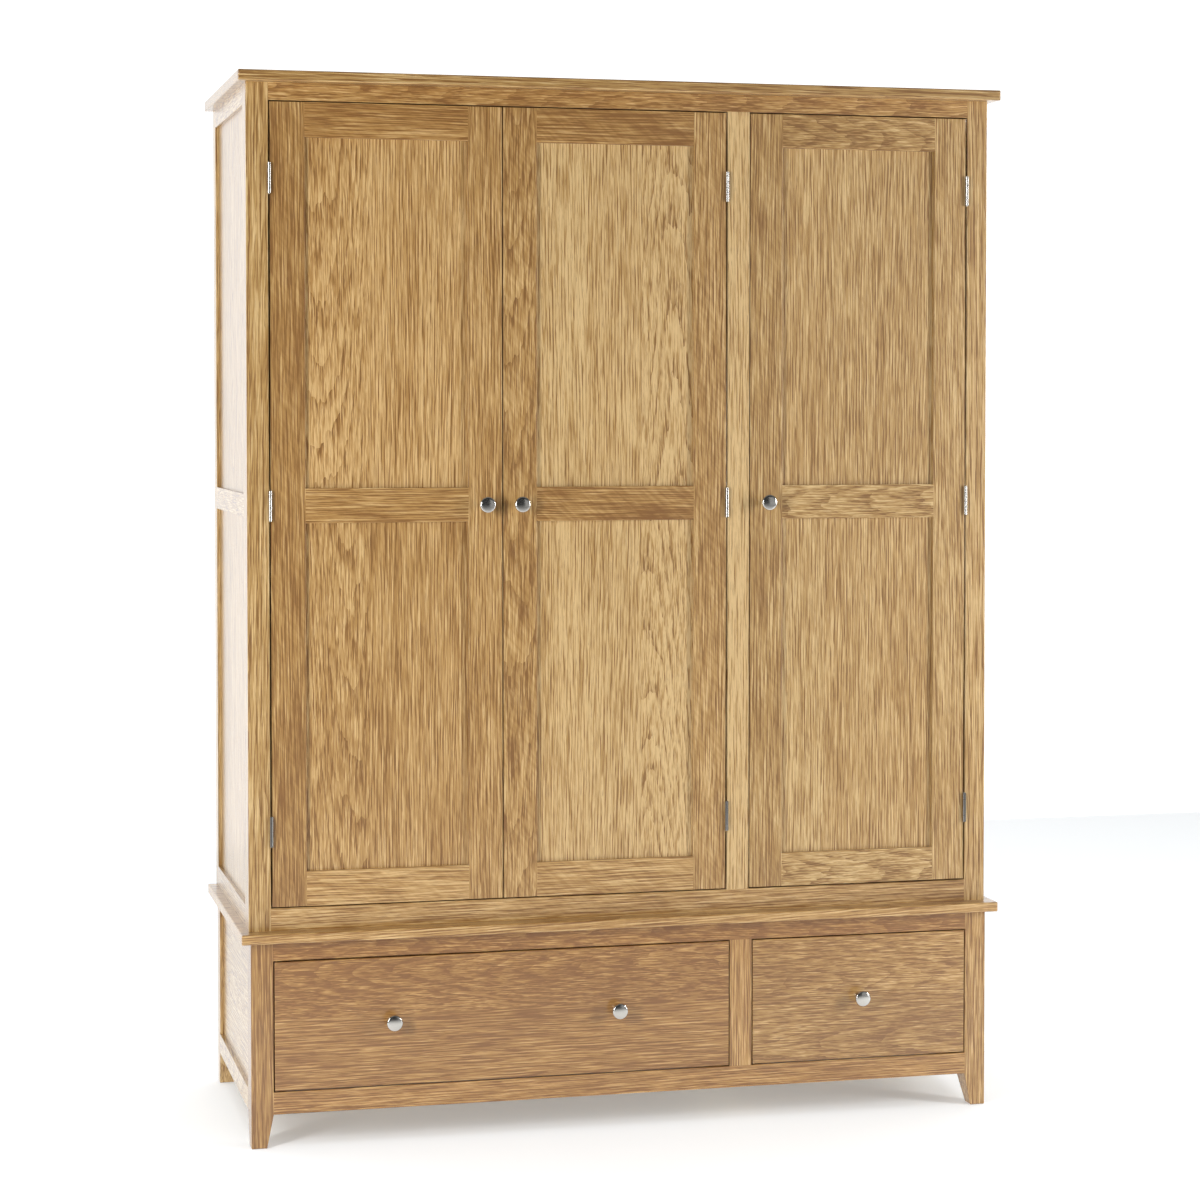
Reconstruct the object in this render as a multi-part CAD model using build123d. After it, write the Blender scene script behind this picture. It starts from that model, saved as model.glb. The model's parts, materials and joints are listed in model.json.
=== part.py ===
from build123d import *
import os

# Three-door oak wardrobe that stands on a base unit with two drawers, as an assembly of pieces.
# Frame: +X to the right, +Y to the back, +Z up, in millimetres.
# Origin: on the floor, at the centre of the overall box, whose depth counts the drawer knobs.

os.makedirs("parts", exist_ok=True)

# Overall sizes
overall_width = 1420.0  # over the cornice, and over the board on top of the base
overall_height = 1906.0
overall_depth = 560.0  # front edge of the base board to the back of the carcass

# Overhangs and setbacks
cornice_side_overhang = 16.0
cornice_front_overhang = 28.0
base_board_side_overhang = 18.0
base_board_front_overhang = 20.0
upper_setback = 12.0  # front of the upper carcass behind the front of the base

# Heights of the base unit and of the upper carcass
foot_height = 60.0
base_bottom_rail_height = 40.0
drawer_opening_height = 234.0
base_top_rail_height = 34.0
base_board_thickness = 18.0
bottom_rail_height = 40.0
top_rail_height = 31.0
cornice_thickness = 19.0
board_edge_radius = 2.5

# Timber sections
post_width = 40.0
front_post_depth = 50.0
rear_post_depth = 38.0
frame_thickness = 20.0  # rails, muntins, doors and drawer fronts
muntin_width = 42.0
upper_muntin_centre = 209.0
base_muntin_centre = 212.0
board_thickness = 18.0  # floor, partition, shelves and divider
foot_width = 28.0
foot_chamfer = 1.5

# Side frames and back frames
side_top_rail_height = 35.0
side_mid_rail_height = 41.0
base_side_rail_height = 38.0
rear_muntin_width = 70.0
rear_rail_height = 60.0

# Panels held in grooves, and the stub tenons that share the grooves
panel_thickness = 8.0
panel_recess = 7.0
groove_depth = 10.0
groove_play = 0.1
tongue_gap = 1.0  # room for a panel to swell at the bottom of its groove
tenon_gap = 0.5

# Doors
door_gap = 2.0
door_stile_width = 62.0
door_rail_height = 62.0

# Hinges
hinge_length = 54.0
hinge_end_distance = 135.0  # end of a door to the middle of its nearest end hinge
leaf_thickness = 1.2
leaf_margin = 3.0  # timber left on the door's edge behind a leaf
leaf_gap = 0.3
barrel_radius = 3.2
pin_radius = 1.5
pin_clearance = 0.05
barrel_clearance = 0.2  # from the barrel to the front of the door
pin_end_reach = 0.8
pin_end_chamfer = 0.4
knuckle_share = 0.22  # of the hinge length, for each end knuckle
knuckle_gap = 0.3
leaf_play = 0.1
screw_spread = 18.0
screw_inset = 9.5
screw_stagger = 2.5
screw_head_radius = 2.9
screw_head_height = 1.6
screw_shank_radius = 1.5
screw_length = 14.0
screw_play = 0.05

# Knobs and their bolts
knob_radius = 14.5
knob_projection = 27.0
knob_foot_radius = 7.5
knob_foot_height = 2.0
knob_neck_radius = 5.0
knob_neck_height = 9.0
knob_rim_low = 18.5
knob_rim_high = 24.0
knob_rim_inset = 1.2
bolt_radius = 2.0
bolt_grip = 9.0  # length of the bolt inside the knob
bolt_head_radius = 4.2
bolt_head_height = 2.6
bolt_play = 0.1
knob_spacing = 415.0  # between the wide drawer's knobs

# Inside the upper carcass
hat_shelf_drop = 256.0  # underside of the hat shelves below the cornice
shelf_front_gap = 4.0
board_play = 0.5
batten_height = 92.0
cleat_thickness = 12.0
cleat_height = 30.0
cleat_end_gap = 60.0
hanging_rail_drop = 65.0
hanging_rail_height = 30.0
hanging_rail_width = 15.0
hanging_rail_wall = 1.2
socket_flange = 2.5
socket_rim = 2.0
socket_margin = 7.0
socket_depth = 12.0
socket_play = 0.2
catch_length = 46.0
catch_height = 14.0
catch_depth = 14.0
catch_gap = 0.3
catch_slot = 3.0
strike_length = 38.0
strike_height = 12.0
strike_thickness = 1.2

# Drawers and what they run on
drawer_gap = 2.0
drawer_side_thickness = 12.0
drawer_side_drop = 28.0  # top of the drawer sides below the top of the opening
drawer_rear_gap = 20.0
drawer_side_gap = 4.0  # drawer side to the post or muntin beside it
drawer_lift = 6.0  # bottom of the drawer sides above the front rail
drawer_back_drop = 10.0
drawer_bottom_thickness = 6.0
drawer_bottom_height = 10.0
drawer_groove_depth = 6.0
runner_width = 20.0  # part of the runner under the drawer side
runner_height = 26.0
runner_clearance = 0.3
guide_clearance = 1.0
guide_height = 20.0
kicker_clearance = 2.0

# Levels
base_bottom_rail_top = foot_height + base_bottom_rail_height
drawer_opening_top = base_bottom_rail_top + drawer_opening_height
base_top = drawer_opening_top + base_top_rail_height
upper_bottom = base_top + base_board_thickness
floor_top = upper_bottom + bottom_rail_height
upper_top = overall_height - cornice_thickness
door_opening_top = upper_top - top_rail_height
hat_shelf_height = upper_top - hat_shelf_drop

# Places across the width and the depth
carcass_half = overall_width / 2 - cornice_side_overhang
base_half = overall_width / 2 - base_board_side_overhang
inner_half = carcass_half - post_width
base_inner_half = base_half - post_width
back = (overall_depth - base_board_front_overhang + knob_projection) / 2
base_board_front = back - overall_depth
base_front = base_board_front + base_board_front_overhang
upper_front = base_front + upper_setback
cornice_front = upper_front - cornice_front_overhang
frame_back = upper_front + frame_thickness
base_frame_back = base_front + frame_thickness
back_frame_front = back - frame_thickness

# Doors: two leaves share the wide opening, and one closes the narrow opening
muntin_left = upper_muntin_centre - muntin_width / 2
muntin_right = upper_muntin_centre + muntin_width / 2
pair_leaf_width = (muntin_left + inner_half - 3 * door_gap) / 2
door_z = (floor_top + door_gap, door_opening_top - door_gap)
pin_stand_off = barrel_radius + barrel_clearance
pin_y = upper_front - pin_stand_off
mid_rail_height = (door_z[0] + door_z[1]) / 2
hinge_heights = (door_z[0] + hinge_end_distance, mid_rail_height, door_z[1] - hinge_end_distance)
doors = {
    "left": {"x": (-inner_half + door_gap, -inner_half + door_gap + pair_leaf_width), "side": -1},
    "middle": {"x": (muntin_left - door_gap - pair_leaf_width, muntin_left - door_gap), "side": 1},
    "right": {"x": (muntin_right + door_gap, inner_half - door_gap), "side": 1},
}
for door in doors.values():
    hinge_edge = door["x"][0] if door["side"] < 0 else door["x"][1]
    lock_edge = door["x"][1] if door["side"] < 0 else door["x"][0]
    door["pin_x"] = hinge_edge + door["side"] * door_gap / 2
    door["knob_x"] = lock_edge + door["side"] * door_stile_width / 2

# Drawers
drawer_z = (base_bottom_rail_top + drawer_gap, drawer_opening_top - drawer_gap)
base_muntin_left = base_muntin_centre - muntin_width / 2
base_muntin_right = base_muntin_centre + muntin_width / 2
drawer_side_bottom = base_bottom_rail_top + drawer_lift
drawer_side_top = drawer_opening_top - drawer_side_drop
drawers = {
    "wide": {"opening": (-base_inner_half, base_muntin_left), "outer_end": -1, "knobs": (-0.5, 0.5)},
    "narrow": {"opening": (base_muntin_right, base_inner_half), "outer_end": 1, "knobs": (0,)},
}

# Bands across a frame's thickness, measured from its outer face
panel_band = (panel_recess, panel_recess + panel_thickness)
groove_band = (panel_band[0] - groove_play, panel_band[1] + groove_play)
tongue = groove_depth - tongue_gap
tenon = groove_depth - tenon_gap


def block(x, y, z):
    """A box between three pairs of low and high values."""
    size = [high - low for low, high in (x, y, z)]
    return Pos(x[0], y[0], z[0]) * Box(*size, align=(Align.MIN, Align.MIN, Align.MIN))


def both_sides(piece):
    """The piece and its mirror image on the other side of the object."""
    return [piece, mirror(piece, about=Plane.YZ)]


def save(node, pieces):
    """Write one node, made of one or more separate solids."""
    solids = [solid for piece in pieces for solid in piece.solids()]
    shape = solids[0] if len(solids) == 1 else Compound(solids)
    export_step(shape, f"parts/{node}.step")


def frame_rails(width, levels, thickness, open_top=False):
    """Rails between two uprights, grooved where a panel meets them, with stub tenons.

    The frame's outer face is at y = 0, and its uprights' inner edges are at x = 0 and x = width.
    """
    rails = []
    ends = (-tenon, width + tenon)
    grooved = (-groove_depth, width + groove_depth)
    for index, (low, high) in enumerate(levels):
        rail = block((0, width), (0, thickness), (low, high)) + block(ends, panel_band, (low, high))
        if index > 0:
            rail -= block(grooved, groove_band, (low, low + groove_depth))
        if open_top or index < len(levels) - 1:
            rail -= block(grooved, groove_band, (high - groove_depth, high))
        rails.append(rail)
    return rails


def frame_panels(width, levels, open_top=None):
    """Flat panels between the rails, and above the last rail where the frame has an open top."""
    panels = []
    lows = [high - tongue for _, high in levels]
    highs = [low + tongue for low, _ in levels[1:]]
    if open_top is not None:
        highs.append(open_top)
    for low, high in zip(lows, highs):
        panels.append(block((-tongue, width + tongue), panel_band, (low, high)))
    return panels


def hinge_groups():
    """Hinges of every door: door name, mirror flag and the places of the hinge's middle."""
    for name, door in doors.items():
        places = [Pos(door["pin_x"], pin_y, height) for height in hinge_heights]
        yield name, door["side"] > 0, places


def placed(shape, mirrored, places):
    """Copies of a hinge piece, drawn for a door that is hung on its left edge."""
    piece = mirror(shape, about=Plane.YZ) if mirrored else shape
    return [place * piece for place in places]


# Hinge, drawn about its own pin axis, with the frame to the left and the door to the right
half_length = hinge_length / 2
knuckle_edge = half_length - hinge_length * knuckle_share
leaf_inner = leaf_gap / 2
leaf_outer = leaf_inner + leaf_thickness
leaf_end = pin_stand_off + frame_thickness - leaf_margin
leaf_start = barrel_radius + knuckle_gap
end_knuckles = (
    (-half_length, -knuckle_edge - knuckle_gap / 2),
    (knuckle_edge + knuckle_gap / 2, half_length),
)
middle_knuckle = ((-knuckle_edge + knuckle_gap / 2, knuckle_edge - knuckle_gap / 2),)


def cylinder(radius, z):
    """An upright cylinder on the origin's axis between two heights."""
    return Pos(0, 0, z[0]) * Cylinder(radius, z[1] - z[0], align=(Align.CENTER, Align.CENTER, Align.MIN))


def leaf(knuckles, screws):
    """One leaf of the hinge on the left of the pin, with its knuckles and countersunk holes."""
    across = (-leaf_outer, -leaf_inner)
    shape = block(across, (leaf_start, leaf_end), (-half_length, half_length))
    for z in knuckles:
        shape += block(across, (0, leaf_start), z) + cylinder(barrel_radius, z)
    shape -= cylinder(pin_radius + pin_clearance, (-half_length, half_length))
    for place in screws:
        shape -= place * screw(screw_play)
    return shape


def screw(play=0.0):
    """A countersunk screw that points to the left, with its head's face at x = 0."""
    head = Cone(
        screw_shank_radius + play,
        screw_head_radius + play,
        screw_head_height,
        align=(Align.CENTER, Align.CENTER, Align.MAX),
    )
    length = screw_length + play - screw_head_height
    shank = Cylinder(screw_shank_radius + play, length, align=(Align.CENTER, Align.CENTER, Align.MAX))
    return Rot(0, 90, 0) * (head + Pos(0, 0, -screw_head_height) * shank)


screw_places = [
    Pos(-leaf_inner, pin_stand_off + screw_inset + stagger, height)
    for height, stagger in (
        (-screw_spread, -screw_stagger),
        (0, screw_stagger),
        (screw_spread, -screw_stagger),
    )
]
frame_leaf = leaf(end_knuckles, screw_places)
door_leaf = mirror(leaf(middle_knuckle, screw_places), about=Plane.YZ)
pin = chamfer(
    cylinder(pin_radius, (-half_length - pin_end_reach, half_length + pin_end_reach))
    .edges()
    .filter_by(GeomType.CIRCLE),
    pin_end_chamfer,
)
frame_screws = [place * screw() for place in screw_places]
door_screws = [mirror(piece, about=Plane.YZ) for piece in frame_screws]
leaf_pocket = block(
    (-leaf_outer, 0),
    (pin_stand_off, leaf_end + leaf_play),
    (-half_length - leaf_play, half_length + leaf_play),
)
frame_cut = leaf_pocket
for place in screw_places:
    frame_cut += place * screw(screw_play)
door_cut = mirror(frame_cut, about=Plane.YZ)


def cut_for_hinges(piece, name, cut):
    """Sink a door's hinges into a post, a muntin or a stile."""
    for group, mirrored, places in hinge_groups():
        if group == name:
            for shape in placed(cut, mirrored, places):
                piece -= shape
    return piece


# Knob and bolt, drawn on a hole's axis, with the face of the timber at y = 0 and the knob ahead
def along_depth(radius, y):
    """A cylinder along the depth between two places."""
    shape = Cylinder(radius, y[1] - y[0], align=(Align.CENTER, Align.CENTER, Align.MIN))
    return Pos(0, y[0], 0) * Rot(-90, 0, 0) * shape


def knob():
    """A mushroom knob: a foot, a waisted neck, a rounded rim and a low dome, bored for its bolt."""
    rim_radius = knob_radius - knob_rim_inset
    outline = [
        Line((0, 0), (knob_foot_radius, 0)),
        Line((knob_foot_radius, 0), (knob_foot_radius, knob_foot_height)),
        Spline(
            (knob_foot_radius, knob_foot_height),
            (knob_neck_radius, knob_neck_height),
            (rim_radius, knob_rim_low),
        ),
        ThreePointArc(
            (rim_radius, knob_rim_low),
            (knob_radius, (knob_rim_low + knob_rim_high) / 2),
            (rim_radius, knob_rim_high),
        ),
        TangentArc((0, knob_projection), (rim_radius, knob_rim_high), tangent=(1, 0)),
        Line((0, knob_projection), (0, 0)),
    ]
    shape = Rot(0, 0, 180) * revolve(make_face(outline), axis=Axis.Y)
    return shape - along_depth(bolt_radius + bolt_play, (-bolt_grip - bolt_play, 0))


def bolt():
    """The knob's bolt, with its round head on the back of the timber."""
    shank = along_depth(bolt_radius, (-bolt_grip, frame_thickness))
    return shank + along_depth(bolt_head_radius, (frame_thickness, frame_thickness + bolt_head_height))


bolt_cut = along_depth(bolt_radius + bolt_play, (0, frame_thickness))


# Base unit: four legs that run up to the base board
def leg(depth):
    """A front left leg: square above the rails, and tapered on its two inner faces below them."""
    outer = Pos(-base_half, 0)
    square = block((-base_half, -base_inner_half), (0, depth), (foot_height, base_top))
    corner = (Align.MIN, Align.MIN)
    top = Pos(0, 0, foot_height) * outer * Rectangle(post_width, depth, align=corner)
    sole = outer * Rectangle(foot_width, foot_width, align=corner)
    foot = loft([sole.face(), top.face()])
    foot = chamfer(foot.faces().sort_by(Axis.Z)[0].edges(), foot_chamfer)
    return square + foot


side_groove = (-base_half + groove_band[0], -base_half + groove_band[1])
back_groove = (back - groove_band[1], back - groove_band[0])
front_leg = Pos(0, base_front, 0) * leg(front_post_depth)
front_leg_back = base_front + front_post_depth
rear_post_front = back - rear_post_depth
side_slot_z = (foot_height, base_top)
front_leg -= block(side_groove, (front_leg_back - groove_depth, front_leg_back), side_slot_z)
rear_leg = Pos(0, back, 0) * mirror(leg(rear_post_depth), about=Plane.XZ)
rear_leg -= block(side_groove, (rear_post_front, rear_post_front + groove_depth), side_slot_z)
rear_leg -= block((-base_inner_half - groove_depth, -base_inner_half), back_groove, side_slot_z)
save("base_front_legs", both_sides(front_leg))
save("base_rear_legs", both_sides(rear_leg))

base_rail_z = (foot_height, base_bottom_rail_top)
base_top_rail_z = (drawer_opening_top, base_top)
base_side_levels = [(foot_height, foot_height + base_side_rail_height)]
base_side_width = rear_post_front - front_leg_back
base_side_place = Pos(-base_half, rear_post_front, 0) * Rot(0, 0, -90)
base_side_rail = frame_rails(base_side_width, base_side_levels, frame_thickness, open_top=True)[0]
base_side_panel = frame_panels(base_side_width, base_side_levels, open_top=base_top)[0]
save("base_side_rails", both_sides(base_side_place * base_side_rail))
save("base_side_panels", both_sides(base_side_place * base_side_panel))

base_front_y = (base_front, base_frame_back)
base_across = (-base_inner_half, base_inner_half)
save("base_front_rails", [block(base_across, base_front_y, z) for z in (base_rail_z, base_top_rail_z)])
base_muntin_z = (base_bottom_rail_top, drawer_opening_top)
save("base_muntin", [block((base_muntin_left, base_muntin_right), base_front_y, base_muntin_z)])

base_back_levels = [base_rail_z, base_top_rail_z]
base_back_place = Pos(base_inner_half, back, 0) * Rot(0, 0, 180)
base_back_width = 2 * base_inner_half
base_rear_rails = frame_rails(base_back_width, base_back_levels, frame_thickness)
save("base_rear_rails", [base_back_place * rail for rail in base_rear_rails])
base_back_panels = frame_panels(base_back_width, base_back_levels)
save("base_back_panel", [base_back_place * panel for panel in base_back_panels])

divider_x = (base_muntin_centre - board_thickness / 2, base_muntin_centre + board_thickness / 2)
inside_y = (base_frame_back, back_frame_front)
save("base_divider", [block(divider_x, inside_y, (foot_height, base_top))])

# Runners under the drawer sides with a guide beside them, and kickers above the sides
base_rail_inner = base_half - frame_thickness
runner_top = drawer_side_bottom - runner_clearance
runner_z = (runner_top - runner_height, runner_top)
guide_z = (runner_z[0], drawer_side_bottom + guide_height)
kicker_z = (drawer_side_top + kicker_clearance, base_top)
between_posts_y = (front_leg_back, rear_post_front)
runners = []
for drawer in drawers.values():
    low, high = drawer["opening"]
    drawer["box"] = (low + drawer_side_gap, high - drawer_side_gap)
    drawer["front"] = (low + drawer_gap, high - drawer_gap)
    for edge, end in zip(drawer["box"], (-1, 1)):
        if end == drawer["outer_end"]:
            strip_wall = edge + end * drawer_side_gap
            guide_wall = end * base_rail_inner
            guide_y = between_posts_y
        else:
            strip_wall = divider_x[0] if end > 0 else divider_x[1]
            guide_wall = strip_wall
            guide_y = inside_y
        strip = sorted((strip_wall, edge - end * runner_width))
        guide = sorted((guide_wall, edge + end * guide_clearance))
        runners.append(block(strip, inside_y, runner_z) + block(guide, guide_y, guide_z))
        runners.append(block(strip, inside_y, kicker_z))
save("drawer_runners", runners)


def edged_board(half_width, y, z):
    """A flat board whose front and side edges are softly rounded, and whose back is square."""
    board = block((-half_width, half_width), y, z)
    back_face = board.faces().sort_by(Axis.Y)[-1]
    square_edges = back_face.edges()
    return fillet([edge for edge in board.edges() if edge not in square_edges], board_edge_radius)


save("base_board", [edged_board(overall_width / 2, (base_board_front, back), (base_top, upper_bottom))])

# Upper carcass: posts, framed sides and a framed back
post_z = (upper_bottom, upper_top)
front_post_back = upper_front + front_post_depth
side_groove = (-carcass_half + groove_band[0], -carcass_half + groove_band[1])
post_x = (-carcass_half, -inner_half)
front_post = block(post_x, (upper_front, front_post_back), post_z)
front_post -= block(side_groove, (front_post_back - groove_depth, front_post_back), post_z)
rear_post = block(post_x, (rear_post_front, back), post_z)
rear_post -= block(side_groove, (rear_post_front, rear_post_front + groove_depth), post_z)
rear_post -= block((-inner_half - groove_depth, -inner_half), back_groove, post_z)
left_post, right_post = both_sides(front_post)
left_post = cut_for_hinges(left_post, "left", frame_cut)
right_post = cut_for_hinges(right_post, "right", frame_cut)
save("front_posts", [left_post, right_post])
save("rear_posts", both_sides(rear_post))

side_levels = [
    (upper_bottom, floor_top),
    (mid_rail_height - side_mid_rail_height / 2, mid_rail_height + side_mid_rail_height / 2),
    (upper_top - side_top_rail_height, upper_top),
]
side_width = rear_post_front - front_post_back
side_place = Pos(-carcass_half, rear_post_front, 0) * Rot(0, 0, -90)
side_rails = frame_rails(side_width, side_levels, frame_thickness)
side_panels = frame_panels(side_width, side_levels)
save("side_rails", [piece for rail in side_rails for piece in both_sides(side_place * rail)])
save("side_panels", [piece for panel in side_panels for piece in both_sides(side_place * panel)])

front_y = (upper_front, frame_back)
across = (-inner_half, inner_half)
front_rail_levels = [(upper_bottom, floor_top), (door_opening_top, upper_top)]
save("front_rails", [block(across, front_y, z) for z in front_rail_levels])
muntin = block((muntin_left, muntin_right), front_y, (floor_top, door_opening_top))
save("front_muntin", [cut_for_hinges(muntin, "middle", frame_cut)])

# The back: a full-height muntin behind the partition, with rails and a panel on each side of it
back_levels = [(upper_bottom, upper_bottom + rear_rail_height), (upper_top - rear_rail_height, upper_top)]
rear_muntin_x = (
    upper_muntin_centre - rear_muntin_width / 2,
    upper_muntin_centre + rear_muntin_width / 2,
)
rear_muntin = block(rear_muntin_x, (back_frame_front, back), post_z)
rear_rails = []
back_panels = []
for low, high in ((-inner_half, rear_muntin_x[0]), (rear_muntin_x[1], inner_half)):
    bay = Pos(high, back, 0) * Rot(0, 0, 180)
    rear_rails += [bay * rail for rail in frame_rails(high - low, back_levels, frame_thickness)]
    back_panels += [bay * panel for panel in frame_panels(high - low, back_levels)]
rear_muntin -= block((rear_muntin_x[0], rear_muntin_x[0] + groove_depth), back_groove, post_z)
rear_muntin -= block((rear_muntin_x[1] - groove_depth, rear_muntin_x[1]), back_groove, post_z)
save("rear_frame", [rear_muntin] + rear_rails)
save("back_panels", back_panels)
save("cornice", [edged_board(overall_width / 2, (cornice_front, back), (upper_top, overall_height))])

# Floor on its bearers, partition, and hat shelves on battens and cleats
carcass_inside_y = (frame_back, back_frame_front)
side_inner = carcass_half - frame_thickness
floor_z = (floor_top - board_thickness, floor_top)
bearer_x = (
    (-side_inner, -inner_half + board_thickness),
    (upper_muntin_centre - board_thickness, upper_muntin_centre + board_thickness),
    (inner_half - board_thickness, side_inner),
)
post_room = []
for y in ((upper_front, front_post_back + board_play), (rear_post_front - board_play, back)):
    post_room += both_sides(block((-carcass_half, -inner_half + board_play), y, post_z))


def board(x, y, z):
    """A board inside the carcass, notched round the corner posts."""
    shape = block(x, y, z)
    for room in post_room:
        shape -= room
    return shape


save("floor_bearers", [board(x, carcass_inside_y, (upper_bottom, floor_z[0])) for x in bearer_x])
save("wardrobe_floor", [board((-side_inner, side_inner), carcass_inside_y, floor_z)])

partition_x = (
    upper_muntin_centre - board_thickness / 2,
    upper_muntin_centre + board_thickness / 2,
)
save("partition", [block(partition_x, carcass_inside_y, (floor_top, upper_top))])

shelf_z = (hat_shelf_height, hat_shelf_height + board_thickness)
shelf_y = (frame_back + shelf_front_gap, back_frame_front - board_play)
shelf_bays = ((-side_inner, partition_x[0]), (partition_x[1], side_inner))
save("hat_shelves", [board(x, shelf_y, shelf_z) for x in shelf_bays])

batten_z = (hat_shelf_height - batten_height, hat_shelf_height)
cleat_z = (hat_shelf_height - cleat_height, hat_shelf_height)
cleat_y = (front_post_back + cleat_end_gap, rear_post_front - cleat_end_gap)
cleats = both_sides(block((-side_inner, -inner_half), (front_post_back, rear_post_front), batten_z))
cleats.append(block((partition_x[0] - cleat_thickness, partition_x[0]), cleat_y, cleat_z))
cleats.append(block((partition_x[1], partition_x[1] + cleat_thickness), cleat_y, cleat_z))
save("shelf_cleats", cleats)

# Hanging rails: oval tubes held at each end in a socket
rail_y = (frame_back + back_frame_front) / 2
rail_height = hat_shelf_height - hanging_rail_drop


def oval(width, height, length):
    """An upright oval bar that runs along +X from the origin."""
    face = Plane.YZ * Rot(0, 0, 90) * SlotOverall(height, width)
    return extrude(face, length)


def socket():
    """A flange on the wall at x = 0, with a rim round the end of the tube."""
    flange_size = 2 * (socket_margin + socket_rim)
    rim_size = 2 * (socket_rim + socket_play)
    shape = oval(hanging_rail_width + flange_size, hanging_rail_height + flange_size, socket_flange)
    shape += oval(hanging_rail_width + rim_size, hanging_rail_height + rim_size, socket_depth)
    hollow = oval(hanging_rail_width + 2 * socket_play, hanging_rail_height + 2 * socket_play, socket_depth)
    return shape - Pos(socket_flange, 0, 0) * hollow


tubes = []
sockets = []
for low, high in ((-inner_half, partition_x[0]), (partition_x[1], inner_half)):
    length = high - low - 2 * (socket_flange + socket_play)
    tube = oval(hanging_rail_width, hanging_rail_height, length)
    tube -= oval(
        hanging_rail_width - 2 * hanging_rail_wall, hanging_rail_height - 2 * hanging_rail_wall, length
    )
    tubes.append(Pos(low + socket_flange + socket_play, rail_y, rail_height) * tube)
    sockets.append(Pos(low, rail_y, rail_height) * socket())
    sockets.append(Pos(high, rail_y, rail_height) * Rot(0, 0, 180) * socket())
save("hanging_rails", tubes)
save("rail_sockets", sockets)

# Hinges and their screws, the catches under the shelves, and the doors
frame_side_pieces = {
    "hinge_frame_leaves": [frame_leaf],
    "hinge_pins": [pin],
    "hinge_frame_screws": frame_screws,
}
for node, pieces in frame_side_pieces.items():
    group = []
    for _, mirrored, places in hinge_groups():
        for piece in pieces:
            group += placed(piece, mirrored, places)
    save(node, group)

catch_z = (hat_shelf_height - catch_height, hat_shelf_height)
catch_front = frame_back + strike_thickness + catch_gap
slot_rise = (catch_height - catch_slot) / 2
slot_z = (catch_z[0] + slot_rise, catch_z[1] - slot_rise)
catches = []
for door in doors.values():
    x = (door["knob_x"] - catch_length / 2, door["knob_x"] + catch_length / 2)
    catch = block(x, (catch_front, catch_front + catch_depth), catch_z)
    slot_x = (x[0] + slot_rise, x[1] - slot_rise)
    catches.append(catch - block(slot_x, (catch_front, catch_front + catch_slot / 2), slot_z))
save("magnetic_catches", catches)

for name, door in doors.items():
    low, high = door["x"]
    width = high - low - 2 * door_stile_width
    place = Pos(low + door_stile_width, upper_front, 0)
    mid = (mid_rail_height - door_rail_height / 2, mid_rail_height + door_rail_height / 2)
    levels = [(door_z[0], door_z[0] + door_rail_height), mid, (door_z[1] - door_rail_height, door_z[1])]
    groove_y = (upper_front + groove_band[0], upper_front + groove_band[1])
    stile_edges = ((low, low + door_stile_width, 1), (high - door_stile_width, high, -1))
    knob_place = Pos(door["knob_x"], upper_front, mid_rail_height)
    stiles = []
    for start, end, inner in stile_edges:
        stile = block((start, end), front_y, door_z)
        groove_x = (end - groove_depth, end) if inner > 0 else (start, start + groove_depth)
        stile -= block(groove_x, groove_y, door_z)
        if start < door["knob_x"] < end:
            stile -= knob_place * bolt_cut
        else:
            stile = cut_for_hinges(stile, name, door_cut)
        stiles.append(stile)
    hinges = [group for group in hinge_groups() if group[0] == name][0]
    screws = [solid for piece in door_screws for solid in placed(piece, *hinges[1:])]
    strike_rise = (catch_height - strike_height) / 2
    strike_x = (door["knob_x"] - strike_length / 2, door["knob_x"] + strike_length / 2)
    strike_y = (frame_back, frame_back + strike_thickness)
    strike = block(strike_x, strike_y, (catch_z[0] + strike_rise, catch_z[1] - strike_rise))
    save(f"door_{name}_stiles", stiles)
    save(f"door_{name}_rails", [place * rail for rail in frame_rails(width, levels, frame_thickness)])
    save(f"door_{name}_panels", [place * panel for panel in frame_panels(width, levels)])
    save(f"door_{name}_hinge_leaves", placed(door_leaf, *hinges[1:]))
    save(f"door_{name}_hinge_screws", screws)
    save(f"door_{name}_strike_plate", [strike])
    save(f"door_{name}_knob", [knob_place * knob(), knob_place * bolt()])

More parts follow.
